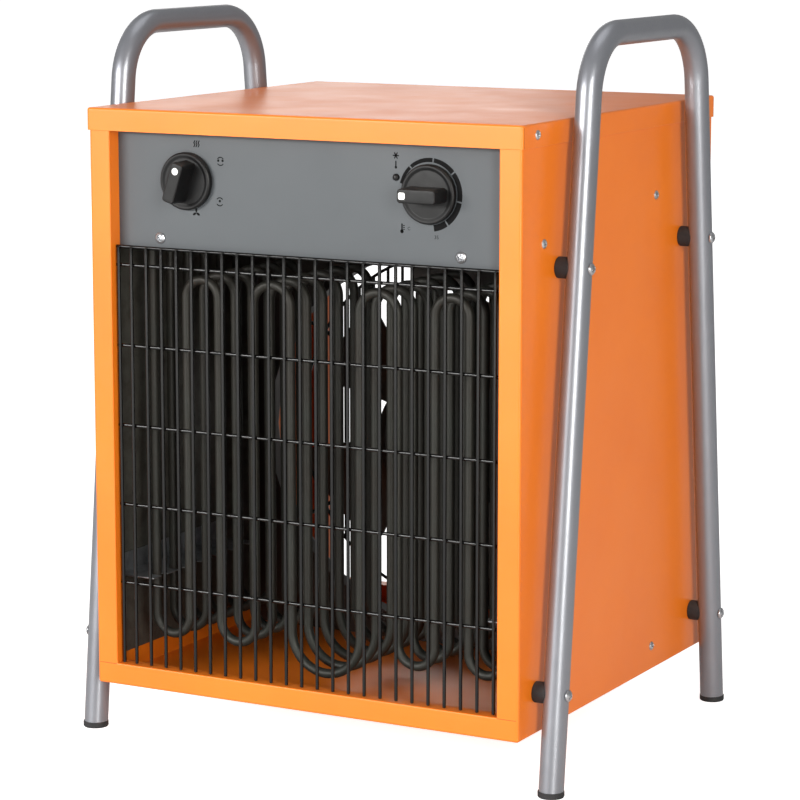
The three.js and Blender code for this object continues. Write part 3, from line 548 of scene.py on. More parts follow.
class Effects:
    """The node groups that several finishes share. Each puts out masks or heights only."""

    def __init__(self) -> None:
        """Builds every group once."""
        self.peel = self.make_peel()
        self.wear = self.make_wear()
        self.dust = self.make_dust()
        self.brush = self.make_brush()
        self.specks = self.make_specks()

    @staticmethod
    def make_peel() -> Tree:
        """The fine skin of sprayed paint: two sizes of soft noise, mixed.

        Returns:
            The node group.
        """
        group = Group("paint_skin", "Height", Grain=900.0, Wave=60.0, Share=0.5)
        fine, broad = (group.noise(group.given[name], 2.0, 0.5) for name in ("Grain", "Wave"))
        both = group.add("ShaderNodeMix", {0: group.given["Share"], 2: fine, 3: broad})
        return group.closed(both.outputs[0])

    @staticmethod
    def make_wear() -> Tree:
        """Where an edge is rubbed: the turn of a rounded normal from the true one, broken by noise.

        Returns:
            The node group.
        """
        group = Group("edge_wear", "Mask", Width=0.0012, Breakup=220.0, Amount=0.5)
        soft = group.add("ShaderNodeBevel", {"Radius": group.given["Width"]}, samples=4).outputs[0]
        true = group.add("ShaderNodeNewGeometry").outputs["True Normal"]
        dot = group.add("ShaderNodeVectorMath", {0: soft, 1: true}, operation="DOT_PRODUCT").outputs["Value"]
        patches = group.cloud((group.given["Breakup"], 4.0, 0.6), 0.62, 0.48)
        mask = group.times(group.spread(dot, 0.99, 0.8), patches)
        return group.closed(group.times(mask, group.given["Amount"]))

    @staticmethod
    def make_dust() -> Tree:
        """A thin film on faces that look up: the upward share of the normal times soft noise.

        Returns:
            The node group.
        """
        group = Group("settled_dust", "Mask", Amount=0.3, Patch=25.0)
        normal = group.add("ShaderNodeNewGeometry").outputs["Normal"]
        upward = group.add("ShaderNodeSeparateXYZ", {0: normal}).outputs["Z"]
        cloud = group.cloud((group.given["Patch"], 5.0, 0.65), 0.35, 0.7)
        mask = group.times(group.spread(upward, 0.3, 1.0), cloud)
        return group.closed(group.times(mask, group.given["Amount"]))

    @staticmethod
    def make_brush() -> Tree:
        """Fine lines along Z: noise drawn out along one axis."""
        group = Group("drawn_lines", "Value", Scale=400.0)
        return group.closed(group.noise(group.given["Scale"], 3.0, 0.6, group.stretched((1.0, 1.0, 0.02))))

    @staticmethod
    def make_specks() -> Tree:
        """Metal flakes or pores: the nearness to the points of a Voronoi pattern, cut off.

        Returns:
            The node group.
        """
        group = Group("specks", "Mask", Scale=1500.0, Size=0.3)
        inputs = {"Vector": group.place(), "Scale": group.given["Scale"]}
        cells = group.add("ShaderNodeTexVoronoi", inputs).outputs["Distance"]
        return group.closed(group.spread(cells, group.given["Size"], 0.0))


EFFECTS = Effects()


class Coat(Graph):
    """A material under construction: its graph, its shader and the way to the shared groups."""

    def __init__(self, name: str, roughness: float) -> None:
        """Starts the material with one Principled shader.

        Args:
            name: The material's name.
            roughness: Its plain roughness.
        """
        self.material = bpy.data.materials.new(name)
        self.material.use_nodes = True
        super().__init__(self.material.node_tree)
        self.sockets = self.tree.nodes["Principled BSDF"].inputs
        self.roughness = roughness
        self.feed("Roughness", roughness)

    def feed(self, name: str, value: object) -> None:
        """Gives one of the shader's inputs a socket or a value."""
        self.join(value, self.sockets[name])

    def fixed(self, **inputs: object) -> None:
        """Sets shader sockets that are the same all over the surface, with _ for a space."""
        for name, value in inputs.items():
            self.feed(name.replace("_", " "), value)

    def effect(self, group: Tree, **inputs: float) -> Socket:
        """Places one of the shared groups with its input values and gives its output."""
        return self.add("ShaderNodeGroup", inputs, node_tree=group).outputs[0]

    def rough(self, first: Socket, second: Socket | None = None) -> None:
        """Feeds the roughness: its own value with one or two offsets added."""
        total = self.plus(first, self.roughness)
        self.feed("Roughness", self.plus(total, second) if second else total)

    def bump(self, height: Socket, distance: float, strength: float) -> None:
        """Puts a bump on the shader's normal."""
        inputs = {"Height": height, "Distance": distance, "Strength": strength}
        self.feed("Normal", self.add("ShaderNodeBump", inputs).outputs[0])


@dataclass(frozen=True)
class Finish:
    """What every finish has: a name, two tones and a roughness."""

    name: str
    tone: tuple
    other: tuple
    roughness: float

    def lay(self, coat: Coat) -> None:
        """Lays the finish on a coat. Every finish says how."""
        raise NotImplementedError

    def material(self) -> Material:
        """Starts a coat, lays the finish on it and gives its material.

        Returns:
            The material.
        """
        coat = Coat(self.name, self.roughness)
        self.lay(coat)
        return coat.material


@dataclass(frozen=True)
class SprayedPaint(Finish):
    """Sprayed and baked paint on sheet metal, with its skin, a little edge wear and settled dust; on the
    orange paint the worn edges take a pale orange that is a painted edge highlight.
    """

    edge_wear_and_highlight_tone: tuple
    coat: float
    skin: float
    wear: float
    dust: float

    def lay(self, coat: Coat) -> None:
        """Lays two clouded tones, rubbed edges in a lighter tone that on the orange paint is a painted edge
        highlight, dust and the orange peel of the spray.

        Args:
            coat: The coat that takes it.
        """
        colour = coat.mix(coat.cloud((9.0, 3.0, 0.55), 0.3, 0.7), self.tone, self.other)
        # Edge mask: wear, and on the orange paint its pale tone is a painted highlight along the bends.
        worn_and_highlit_edges = coat.effect(EFFECTS.wear, Width=0.0009, Breakup=260.0, Amount=self.wear)
        film = coat.effect(EFFECTS.dust, Amount=self.dust, Patch=18.0)
        coat.feed("Base Color", coat.mix(film, coat.mix(worn_and_highlit_edges, colour, self.edge_wear_and_highlight_tone), (196, 186, 172)))
        coat.rough(coat.cloud((14.0, 5.0, 0.6), 0.3, 0.75, (-0.05, 0.07)), film)
        coat.bump(coat.effect(EFFECTS.peel, Grain=1400.0, Wave=320.0, Share=0.45), self.skin, 0.5)
        coat.fixed(Coat_Weight=self.coat, Coat_Roughness=0.3, IOR=1.5, Specular_IOR_Level=0.42)


@dataclass(frozen=True)
class TubePaint(Finish):
    """Grey metallic paint on steel tube: flakes under a satin skin."""

    metallic: float

    def lay(self, coat: Coat) -> None:
        """Lays the flakes, darker clouds and rubbed edges.

        Args:
            coat: The coat that takes it.
        """
        flakes = coat.effect(EFFECTS.specks, Scale=2600.0, Size=0.34)
        colour = coat.mix(coat.times(flakes, 0.35), self.tone, self.other)
        darker = (*[0.8 * part for part in linear(self.tone)[:3]], 1.0)
        colour = coat.mix(coat.cloud((22.0, 4.0, 0.6), 0.3, 0.7, (0.0, 0.25)), colour, darker)
        rubbed = coat.effect(EFFECTS.wear, Width=0.0006, Breakup=300.0, Amount=0.4)
        coat.feed("Base Color", coat.mix(rubbed, colour, (200, 200, 202)))
        coat.rough(coat.cloud((35.0, 4.0, 0.6), 0.3, 0.7, (-0.04, 0.06)))
        coat.bump(coat.effect(EFFECTS.peel, Grain=1600.0, Wave=420.0, Share=0.4), 0.00003, 0.5)
        coat.fixed(Metallic=self.metallic, Coat_Weight=0.25, Coat_Roughness=0.18, IOR=1.5)


@dataclass(frozen=True)
class BareMetal(Finish):
    """Plated, drawn or oxidised metal with fine lines and stains."""

    metallic: float
    lines: float

    def lay(self, coat: Coat) -> None:
        """Lays the stains and the drawn lines.

        Args:
            coat: The coat that takes it.
        """
        stains = coat.cloud((60.0, 5.0, 0.65), 0.42, 0.7)
        coat.feed("Base Color", coat.mix(stains, self.tone, self.other))
        drawn = coat.effect(EFFECTS.brush, Scale=700.0)
        coat.rough(coat.spread(drawn, 0.3, 0.7, (-0.06, 0.1)), coat.times(stains, 0.12))
        coat.bump(drawn, self.lines, 0.4)
        coat.fixed(Metallic=self.metallic)


@dataclass(frozen=True)
class HeaterSheath(Finish):
    """The dark oxidised skin of a heating element: bands of tint along the leg and fine scale."""

    def lay(self, coat: Coat) -> None:
        """Lays the bands, the scale and a fine grain.

        Args:
            coat: The coat that takes it.
        """
        bands = coat.cloud((1.0, 3.0, 0.6, coat.stretched((3.0, 3.0, 14.0))), 0.35, 0.68)
        scale = coat.times(coat.effect(EFFECTS.specks, Scale=900.0, Size=0.22), 0.3)
        colour = coat.mix(bands, self.tone, self.other)
        coat.feed("Base Color", coat.mix(scale, colour, (120, 116, 108)))
        coat.rough(coat.cloud((160.0, 4.0, 0.6), 0.3, 0.7, (-0.05, 0.1)))
        coat.bump(coat.noise(1500.0, 3.0, 0.6), 0.00003, 0.6)
        coat.fixed(Metallic=0.35)


@dataclass(frozen=True)
class WireEnamel(Finish):
    """Glossy black enamel on wire, dull in the shade close under the panel."""

    def lay(self, coat: Coat) -> None:
        """Lays dust, the enamel's skin and its gloss, which stops at a height.

        Args:
            coat: The coat that takes it.
        """
        film = coat.effect(EFFECTS.dust, Amount=0.04, Patch=60.0)
        coat.feed("Base Color", coat.mix(film, self.tone, self.other))
        coat.rough(coat.cloud((90.0, 4.0, 0.6), 0.3, 0.7, (-0.04, 0.08)))
        coat.bump(coat.effect(EFFECTS.peel, Grain=1300.0, Wave=380.0, Share=0.5), 0.00004, 0.5)
        height = coat.add("ShaderNodeSeparateXYZ", {0: coat.place()}).outputs["Z"]
        coat.feed("Coat Weight", coat.spread(height, 0.446, 0.448, (0.4, 0.04)))
        coat.fixed(Specular_IOR_Level=0.25, Coat_Roughness=0.06)


@dataclass(frozen=True)
class Moulding(Finish):
    """Moulded plastic, ceramic or rubber with a fine spark grain."""

    grain: float
    depth: float
    wear: float = 0.3
    shine: float = 0.5

    def lay(self, coat: Coat) -> None:
        """Lays clouds, rubbed edges, dust and the grain.

        Args:
            coat: The coat that takes it.
        """
        colour = coat.mix(coat.cloud((70.0, 4.0, 0.6), 0.35, 0.75, (0.0, 0.5)), self.tone, self.other)
        rubbed = coat.effect(EFFECTS.wear, Width=0.0007, Breakup=420.0, Amount=self.wear)
        film = coat.effect(EFFECTS.dust, Amount=0.12, Patch=60.0)
        coat.feed("Base Color", coat.mix(film, coat.mix(rubbed, colour, self.other), (150, 144, 136)))
        coat.rough(coat.cloud((110.0, 4.0, 0.6), 0.3, 0.7, (-0.06, 0.08)))
        coat.bump(coat.noise(self.grain, 3.0, 0.6), self.depth, 0.6)
        coat.fixed(Specular_IOR_Level=self.shine)


@dataclass(frozen=True)
class PrintedInk(Finish):
    """Screen-printed ink, a little uneven in cover."""

    shine: float = 0.5

    def lay(self, coat: Coat) -> None:
        """Lays the uneven cover and its fine relief.

        Args:
            coat: The coat that takes it.
        """
        cover = coat.cloud((900.0, 4.0, 0.65), 0.45, 0.75, (0.0, 0.45))
        coat.feed("Base Color", coat.mix(cover, self.tone, self.other))
        coat.bump(coat.noise(2500.0, 2.0, 0.5), 0.00002, 0.4)
        coat.fixed(Specular_IOR_Level=self.shine)


class Finishes:
    """Every finish of the heater, built once."""

    def __init__(self) -> None:
        """Builds the materials."""
        for name, finish in {
            # The orange paint's edge tone (250, 170, 90) is a painted edge highlight, laid through the wear
            # mask.
            "orange": SprayedPaint(
                "orange_spray", (233, 120, 24), (228, 114, 20), 0.36,
                (250, 170, 90), 0.15, 0.00005, 0.35, 0.02,
            ),
            "grey": SprayedPaint(
                "panel_spray", (72, 76, 80), (69, 73, 77), 0.5, (130, 132, 134), 0.0, 0.00004, 0.2, 0.0
            ),
            "tube": TubePaint("tube_spray", (138, 140, 147), (205, 207, 212), 0.34, 0.65),
            "zinc": BareMetal("zinc_plate", (196, 198, 202), (150, 150, 152), 0.28, 0.95, 0.00002),
            "galvanised": BareMetal("galvanised_sheet", (170, 172, 176), (128, 130, 134), 0.4, 0.9, 0.00002),
            "wire": WireEnamel("wire_enamel", (7, 7, 8), (120, 112, 104), 0.12),
            "fan": SprayedPaint(
                "fan_spray", (58, 48, 42), (50, 41, 35), 0.45, (90, 90, 92), 0.1, 0.00005, 0.4, 0.15
            ),
            "shield": BareMetal("heated_sheet", (84, 82, 76), (66, 62, 56), 0.42, 0.3, 0.00002),
            "sheath": HeaterSheath("element_sheath", (42, 44, 40), (38, 34, 29), 0.5),
            "knob": Moulding("knob_moulding", (9, 9, 10), (22, 22, 24), 0.46, 1800.0, 0.00004, shine=0.3),
            "rubber": Moulding("rubber", (26, 26, 28), (44, 44, 46), 0.68, 900.0, 0.00006),
            "ceramic": Moulding("ceramic", (226, 220, 206), (236, 232, 222), 0.6, 700.0, 0.00005, 0.0),
            "pale": Moulding("pale_moulding", (208, 207, 200), (222, 221, 216), 0.5, 1500.0, 0.00003, 0.1),
            "copper": BareMetal("drawn_copper", (184, 112, 72), (120, 74, 52), 0.3, 0.95, 0.00001),
            "black_ink": PrintedInk("black_ink", (6, 6, 7), (14, 14, 16), 0.7, 0.12),
            "white_ink": PrintedInk("white_ink", (244, 244, 242), (226, 226, 224), 0.7),
            "seam": PrintedInk("seam_shadow", (120, 58, 14), (140, 70, 20), 0.7),
        }.items():
            setattr(self, name, finish.material())


# Sub-assemblies


@dataclass
class Casing:
    """The folded casing, its top rails, the lid and the screws that hold them."""

    sheet: float = 1.2 * MM
    bend: float = 2.6 * MM
    side_strip: float = 21 * MM
    bottom_strip: float = 20 * MM
    top_strip: float = 16.5 * MM
    return_depth: float = 15 * MM
    lid_bend: float = 2.2 * MM
    lid_corner: float = 2.6 * MM
    lid_crown: float = 0.5 * MM
    screw_radius: float = 4.1 * MM
    screw_rise: float = 2.3 * MM

    def __post_init__(self) -> None:
        """Reads the casing's and the lid's boxes."""
        self.low, self.high = corners("casing_body")
        self.lid_low, self.lid_high = corners("lid")

    def wrap_grid(self) -> Array:
        """The sheet's section, as (inset, Y), down one side, round the bottom and up the other.

        The section runs from one return to the other on the outside and back on the inside. A point of
        inset d lies at half width - d from the middle and at d * bottom strip / side strip above the
        bottom, and turns the corner on a radius of bend - d, but never under 0.6 mm.

        Returns:
            A grid of stations by section points by 3.
        """
        front, back, strip, deep = self.low[1], self.high[1], self.side_strip, self.return_depth
        outside, inside = (np.array([
            (strip - thick, front + deep), (strip - thick, front + thick), (thick, front + thick),
            (thick, back - thick), (strip - thick, back - thick), (strip - thick, back - deep),
        ]) for thick in (0, self.sheet))
        inset, depth = np.concatenate([
            bent(outside, [1.3 * MM, self.bend, self.bend, 1.3 * MM], 5),
            bent(inside[::-1], [0.4 * MM, 1.2 * MM, 1.2 * MM, 0.4 * MM], 3),
        ]).T
        radius = np.maximum(self.bend - inset, 0.6 * MM)
        half = self.high[0] - inset
        bottom = self.low[2] + inset * self.bottom_strip / self.side_strip
        angle = np.linspace(0, math.pi / 2, 7)[:, None]
        across = np.concatenate([half[None], half - radius + radius * np.cos(angle)])
        top = np.full((1, len(inset)), self.high[2])
        height = np.concatenate([top, bottom + radius - radius * np.sin(angle)])
        return joined(np.concatenate([across, -across[::-1]]), depth, np.concatenate([height, height[::-1]]))

    def rail_grids(self) -> list[Array]:
        """The folded rails under the lid, front and back, as sections drawn out along X.

        Returns:
            Two grids of 2 by points by 3.
        """
        low, high, thick, deep = self.high[2] - self.top_strip, self.high[2], self.sheet, self.return_depth
        section = np.array([
            (0, high), (0, low + MM), (0.3 * MM, low + 0.3 * MM), (MM, low), (deep, low), (deep, low + thick),
            (thick, low + thick), (thick, high),
        ])
        half = self.high[0] - self.side_strip + 0.2 * MM
        ends = np.array([[-half], [half]])
        return [
            joined(ends, face + inward * section[:, 0], section[:, 1])
            for face, inward in ((self.low[1], 1), (self.high[1], -1))
        ]

    def lid_grid(self) -> Array:
        """The lid from the middle of its underside, round its hem and over its top.

        Each row is a rounded rectangle of some inset at some height. The top rises by
        crown * (1 - u^2)(1 - v^2), where u and v run from -1 to 1 across it.

        Returns:
            A grid of rows by points by 3.
        """
        width, depth = (self.lid_high - self.lid_low)[:2]
        lip, top, thick = self.lid_low[2], self.lid_high[2], self.sheet
        under = [(0.46 * depth, top - thick), (0.2 * depth, top - thick), (thick, top - thick)]
        hem = [(thick, lip + 0.3 * MM), (0.8 * thick, lip), (0.2 * thick, lip), (0, lip + 0.3 * MM)]
        angle = np.linspace(0, math.pi / 2, 7)
        fold = zip(self.lid_bend * (1 - np.cos(angle)), top - self.lid_bend * (1 - np.sin(angle)))
        plate = [(share * depth, top) for share in np.linspace(0.03, 0.49, 12)]
        grid = tapered(width, depth, self.lid_corner, 0.5 * MM, [*under, *hem, *fold, *plate])
        flat = grid[-1 - len(plate):]
        across, along = flat[..., 0] / (width / 2), flat[..., 1] / (depth / 2)
        flat[..., 2] += self.lid_crown * (1 - across**2) * (1 - along**2)
        grid[..., 1] += (self.low[1] + self.high[1]) / 2
        return grid

    def joint_grids(self) -> list[Array]:
        """The fine dark joints, as bars: where side and bottom strips meet, and at the lid's corners.

        A bar's four edges lie half its width and its thickness to either side of its middle line.

        Returns:
            Grids of 2 by 4 by 3.
        """
        proud, bars = 0.04 * MM, []
        level = self.low[2] + self.bottom_strip - 0.6 * MM
        outer, inner = self.high[0] - 2.2 * MM, self.high[0] - self.side_strip + 0.4 * MM
        for side in Side:
            for face, outward in ((self.low[1], -1), (self.high[1], 1)):
                ends = [(side.value * place, face, level) for place in (outer, inner)]
                bars.append((ends, 0.22 * MM * Z, outward * proud * Y))
            for place in (self.lid_low[1] + 2.4 * MM, self.lid_high[1] - 2.4 * MM):
                levels = (self.lid_low[2] + 0.4 * MM, self.lid_high[2] - 2.4 * MM)
                ends = [(side.value * self.lid_high[0], place, height) for height in levels]
                bars.append((ends, 0.16 * MM * Y, side.value * proud * X))
        return [
            np.array(ends)[:, None] + np.stack([half - rise, -half - rise, -half + rise, half + rise])
            for ends, half, rise in bars
        ]

    def screw_grids(self) -> list[Array]:
        """The domed screws, three on each side and two on each side's lip, each turned by its own angle.

        Returns:
            A grid for each screw.
        """
        grids = []
        for side in Side:
            spots = [(y, z, self.high[0]) for y, z in ((-154.5, 472.8), (78.2, 493.0), (81.5, 73.1))]
            spots += [(y, 565.4, self.lid_high[0]) for y in (-171.4, 181.4)]
            for y, z, face in spots:
                seat = np.array([side.value * face, y * MM, z * MM])
                turn = 0.4 + 0.9 * len(grids)
                grids.append(screw(seat, side.value * X, turn, self.screw_radius, self.screw_rise))
        return grids

    def build(self, finishes: Finishes) -> None:
        """Builds the folded sheet with its rails, the lid, the joints and the screws.

        Args:
            finishes: The heater's finishes.
        """
        shell = Surface("casing_shell").add(self.wrap_grid(), *self.rail_grids())
        shell.settle(finishes.orange, "orange_paint", "casing_body")
        Surface("lid_skin").add(self.lid_grid()).settle(finishes.orange, "orange_paint", "lid")
        Surface("casing_joints").add(*self.joint_grids()).settle(finishes.seam, "orange_paint")
        Surface("casing_screws").add(*self.screw_grids()).settle(finishes.zinc, "zinc_steel", sharp=50)


@dataclass
class SideFrame:
    """One tube frame with its feet, spacers and bolts."""

    side: Side
    tube_radius: float = 11 * MM
    wall: float = 1.5 * MM
    bend: float = 56 * MM
    foot_spread: float = 356 * MM
    top_spread: float = 221 * MM
    foot_height: float = 3.9 * MM
    foot_radius: float = 11.6 * MM
    spacer_radius: float = 9.3 * MM
    bolt_radius: float = 5.2 * MM
    bolt_rise: float = 3.4 * MM
    bolt_levels: tuple = (("lower", 88 * MM), ("upper", 450 * MM))
    ends: tuple = (("front", -1), ("rear", 1))
    spokes: int = 40

    def __post_init__(self) -> None:
        """Reads the frame's place from its CAD node."""
        self.label = self.side.name.lower()
        low, high = corners(f"side_frame_{self.label}")
        self.centre_x, self.middle = ((low + high) / 2)[:2]
        self.top = high[2] - self.tube_radius
        self.slope = (self.foot_spread - self.top_spread) / 2 / self.top
        self.casing_face = self.side.value * corners("casing_body")[1][0]

    def tube_grid(self) -> Array:
        """The bent tube: its outer wall one way and its inner wall the other way, cut level below.

        Returns:
            A grid of stations by points by 3.
        """
        reach = 12 * MM
        low, high = self.foot_spread / 2 + reach * self.slope, self.top_spread / 2
        flat = bent([(-low, -reach), (-high, self.top), (high, self.top), (low, -reach)], [self.bend] * 2, 22)
        path = joined(self.centre_x, flat[:, 0] + self.middle, flat[:, 1])
        radii = (self.tube_radius, self.tube_radius - self.wall)
        outer, inner = (swept(path, X, ring(radius, self.spokes)) for radius in radii)
        for grid in (outer, inner):
            for end, beside in ((0, 1), (-1, -2)):
                run = path[end] - path[beside]
                grid[end] += (self.foot_height - grid[end, :, 2:]) / run[2] * run
        return np.concatenate([outer, inner[::-1]])

    def build_feet(self, rubber: Material) -> None:
        """Builds the rubber foot under each leg: a round pad with soft edges and a low collar.

        Args:
            rubber: The feet's material.
        """
        radius, tube, height = self.foot_radius, self.tube_radius, self.foot_height
        profile = eased([
            (0, 0), (radius - 0.6 * MM, 0), (radius, MM), (radius, height + 1.2 * MM),
            (tube, height + 1.6 * MM), (tube - self.wall, height), (0, height),
        ], 0.35 * MM)
        profile[:, 0] = np.maximum(profile[:, 0], 0.05 * MM)
        for end, sign in self.ends:
            centre = np.array([self.centre_x, self.middle + sign * self.foot_spread / 2, 0.0])
            grid = revolved(profile, self.spokes, centre, Z, X)
            foot = Surface(f"rubber_foot_{self.label}_{end}").add(grid)
            foot.settle(rubber, "rubber", f"foot_{self.label}_{end}")

    def spacer_grid(self, sign: int, y: float, z: float) -> Array:
        """A rubber spacer, cut at its outer end to the round back of the tube.

        At a point h from the tube's axis the saddle lies sqrt(R^2 - h^2) inside the axis.

        Args:
            sign: -1 on the front leg, 1 on the rear one.
            y: Its place along Y.
            z: Its height.

        Returns:
            A grid of rows by points by 3.
        """
        radius = self.spacer_radius - np.array([[9.25, 0.6, 0.15, 0.0, 0.0, 0.15, 0.5, 9.25]]).T * MM
        across, up = radius * np.cos(circle(self.spokes)), radius * np.sin(circle(self.spokes))
        leg, outward = math.atan(self.slope), self.side.value
        offset = across * math.cos(leg) + sign * up * math.sin(leg)
        saddle = self.centre_x - outward * np.sqrt((self.tube_radius + HAIR) ** 2 - offset**2)
        foot = self.casing_face + outward * 0.15 * MM
        share = np.array([[0, 0, 0.04, 0.12, 0.86, 0.95, 1, 1]]).T
        return joined(foot + share * (saddle - foot), y + across, z + up)

    def build(self, finishes: Finishes) -> None:
        """Builds the tube, its feet, and the spacer and the bolt at each place on the legs.

        Args:
            finishes: The heater's finishes.
        """
        tube = Surface(f"tube_frame_{self.label}").add(self.tube_grid(), loop=True)
        tube.settle(finishes.tube, "frame_paint", f"side_frame_{self.label}")
        self.build_feet(finishes.rubber)
        outward = self.side.value * X
        shank = [[3 * MM, HAIR], [3 * MM, -37 * MM]]
        for end, sign in self.ends:
            for level, z in self.bolt_levels:
                name = f"{self.label}_{end}_{level}"
                y = self.middle + sign * (self.foot_spread / 2 - z * self.slope)
                spacer = Surface(f"rubber_spacer_{name}").add(self.spacer_grid(sign, y, z))
                spacer.settle(finishes.rubber, "rubber", f"spacer_{name}")
                seat = np.array([self.centre_x + self.side.value * (self.tube_radius - 0.2 * MM), y, z])
                head = screw(seat, outward, 0.6, self.bolt_radius, self.bolt_rise)
                bolt = Surface(f"frame_bolt_{name}").add(head, revolved(shank, 16, seat, outward, Y))
                bolt.settle(finishes.zinc, "zinc_steel", f"bolt_{name}", sharp=50)


@dataclass
class FrontGrille:
    """The welded wire grille in front of the elements."""

    radius: float = 1.55 * MM
    count: int = 25
    margin: float = 4.3 * MM
    end_margin: float = 5.9 * MM
    lead: float = 13.1 * MM
    opening_half: float = 193 * MM
    cross_count: int = 5
    cross_drop: float = 16.9 * MM
    weld_radius: float = 1.35 * MM
    lean: float = 0.12 * MM
    end_chamfer: float = 0.5 * MM

    def __post_init__(self) -> None:
        """Works out the places of the uprights and the levels of the cross wires."""
        self.low, self.high = corners("front_grille")
        self.front_row, self.back_row = self.low[1] + self.radius, self.high[1] - self.radius
        start, end = self.margin - self.opening_half, self.opening_half - self.end_margin
        self.places = np.append(start, np.linspace(start + self.lead, end, self.count - 1))
        first = corners("control_panel")[0][2] - self.cross_drop
        pitch = (first - self.low[2] - self.radius) / self.cross_count
        self.levels = np.append(self.high[2], first - pitch * np.arange(self.cross_count))

    def wire_grids(self) -> tuple[Array, Array]:
        """The uprights and the cross wires, each a circle along a line with a chamfer at both ends.

        Returns:
            The grids of the uprights and those of the cross wires, each count by 4 by points by 3.
        """
        section = np.array([[[0.6]], [[1]], [[1]], [[0.6]]]) * ring(self.radius, 14)
        first, second = section[..., 0], section[..., 1]
        chamfer, reach = self.end_chamfer, self.high[0]
        low, high = self.low[2], self.high[2]
        lean = np.random.default_rng(7).normal(0, self.lean, self.count)[:, None, None]
        across = self.places[:, None, None] + first + lean * [[0], [0], [1], [1]]
        ends = np.array([[low], [low + chamfer], [high - chamfer], [high]])
        uprights = joined(across, self.front_row + second, ends)
        ends = np.array([[-reach], [chamfer - reach], [reach - chamfer], [reach]])
        return uprights, joined(ends, self.back_row + first, self.levels[:, None, None] + second)

    def weld_grids(self) -> Array:
        """A small ellipsoid where each upright meets each cross wire.

        Returns:
            Count by rows by points by 3.
        """
        latitude, longitude = np.linspace(-1.35, 1.35, 5)[:, None], circle(8)
        ball = self.weld_radius * joined(
            1.15 * np.cos(latitude) * np.cos(longitude), 0.9 * np.sin(latitude),
            1.15 * np.cos(latitude) * np.sin(longitude),
        )
        across, level = np.meshgrid(self.places, self.levels, indexing="ij")
        centre = joined(across, (self.front_row + self.back_row) / 2, level).reshape(-1, 1, 1, 3)
        return centre + ball

    def build(self, finishes: Finishes) -> None:
        """Builds the wires and the small fillets of their welds.

        Args:
            finishes: The heater's finishes.
        """
        uprights, crosses = self.wire_grids()
        grille = Surface("grille_wires").add(*uprights, *crosses, *self.weld_grids())
        grille.settle(finishes.wire, "black_steel", "front_grille", sharp=60)


@dataclass
class ElementBank:
    """The serpentine tubular elements with their collars and terminals."""

    count: int = 6
    radius: float = 4.25 * MM
    opening_half: float = 193 * MM
    leg_shares: tuple = (0.181, 0.378, 0.567, 0.741, 0.925)
    arch_drop: float = 47 * MM
    small_bend: float = 40.8 * MM
    large_bend: float = 22.8 * MM
    casing_floor: float = 51.2 * MM
    shelf: float = 468 * MM
    rise: float = 20 * MM
    collar_radius: float = 7 * MM
    collar_height: float = 5 * MM

    def route(self, place: float) -> Array:
        """The centre line of one element: legs joined by half circles, above and below in turn.

        Args:
            place: Its Y.

        Returns:
            The points, by 3.
        """
        legs = np.array(self.leg_shares) * self.opening_half
        places = np.concatenate([-legs[::-1], legs])
        points, radii = [(places[0], self.shelf + self.rise)], []
        for leg, pair in enumerate(zip(places[:-1], places[1:])):
            low = self.casing_floor + (self.large_bend if leg == len(legs) - 1 else self.small_bend)
            height = low if leg % 2 == 0 else self.shelf - self.arch_drop
            points += [(across, height) for across in pair]
            radii += [(pair[1] - pair[0]) / 2 * 0.9999] * 2
        flat = bent([*points, (places[-1], self.shelf + self.rise)], radii, 10)
        return joined(flat[:, 0], place, flat[:, 1])

    def build(self, finishes: Finishes) -> None:
        """Builds each element with a hexagon collar under the shelf and a pin at both ends.

        Args:
            finishes: The heater's finishes.
        """
        top, radius = self.shelf - FIT, self.collar_radius
        low = top - self.collar_height
        collar = eased([(HAIR, low), (radius, low), (radius, top), (HAIR, top)], 0.5 * MM)
        for index in range(1, self.count + 1):
            node = f"heating_element_{index}"
            box = corners(node)
            place = (box[0][1] + box[1][1]) / 2
            pin = [[2 * MM, self.shelf + self.rise - MM], [2 * MM, box[1][2]]]
            element = Surface(f"element_tube_{index}").add(swept(self.route(place), Y, ring(self.radius, 20)))
            for sign in (-1, 1):
                centre = np.array([sign * self.leg_shares[-1] * self.opening_half, place, 0.0])
                element.add(revolved(collar, 6, centre, Z, X), revolved(pin, 12, centre, Z, X))
            element.settle(finishes.sheath, "sheath_steel", node)


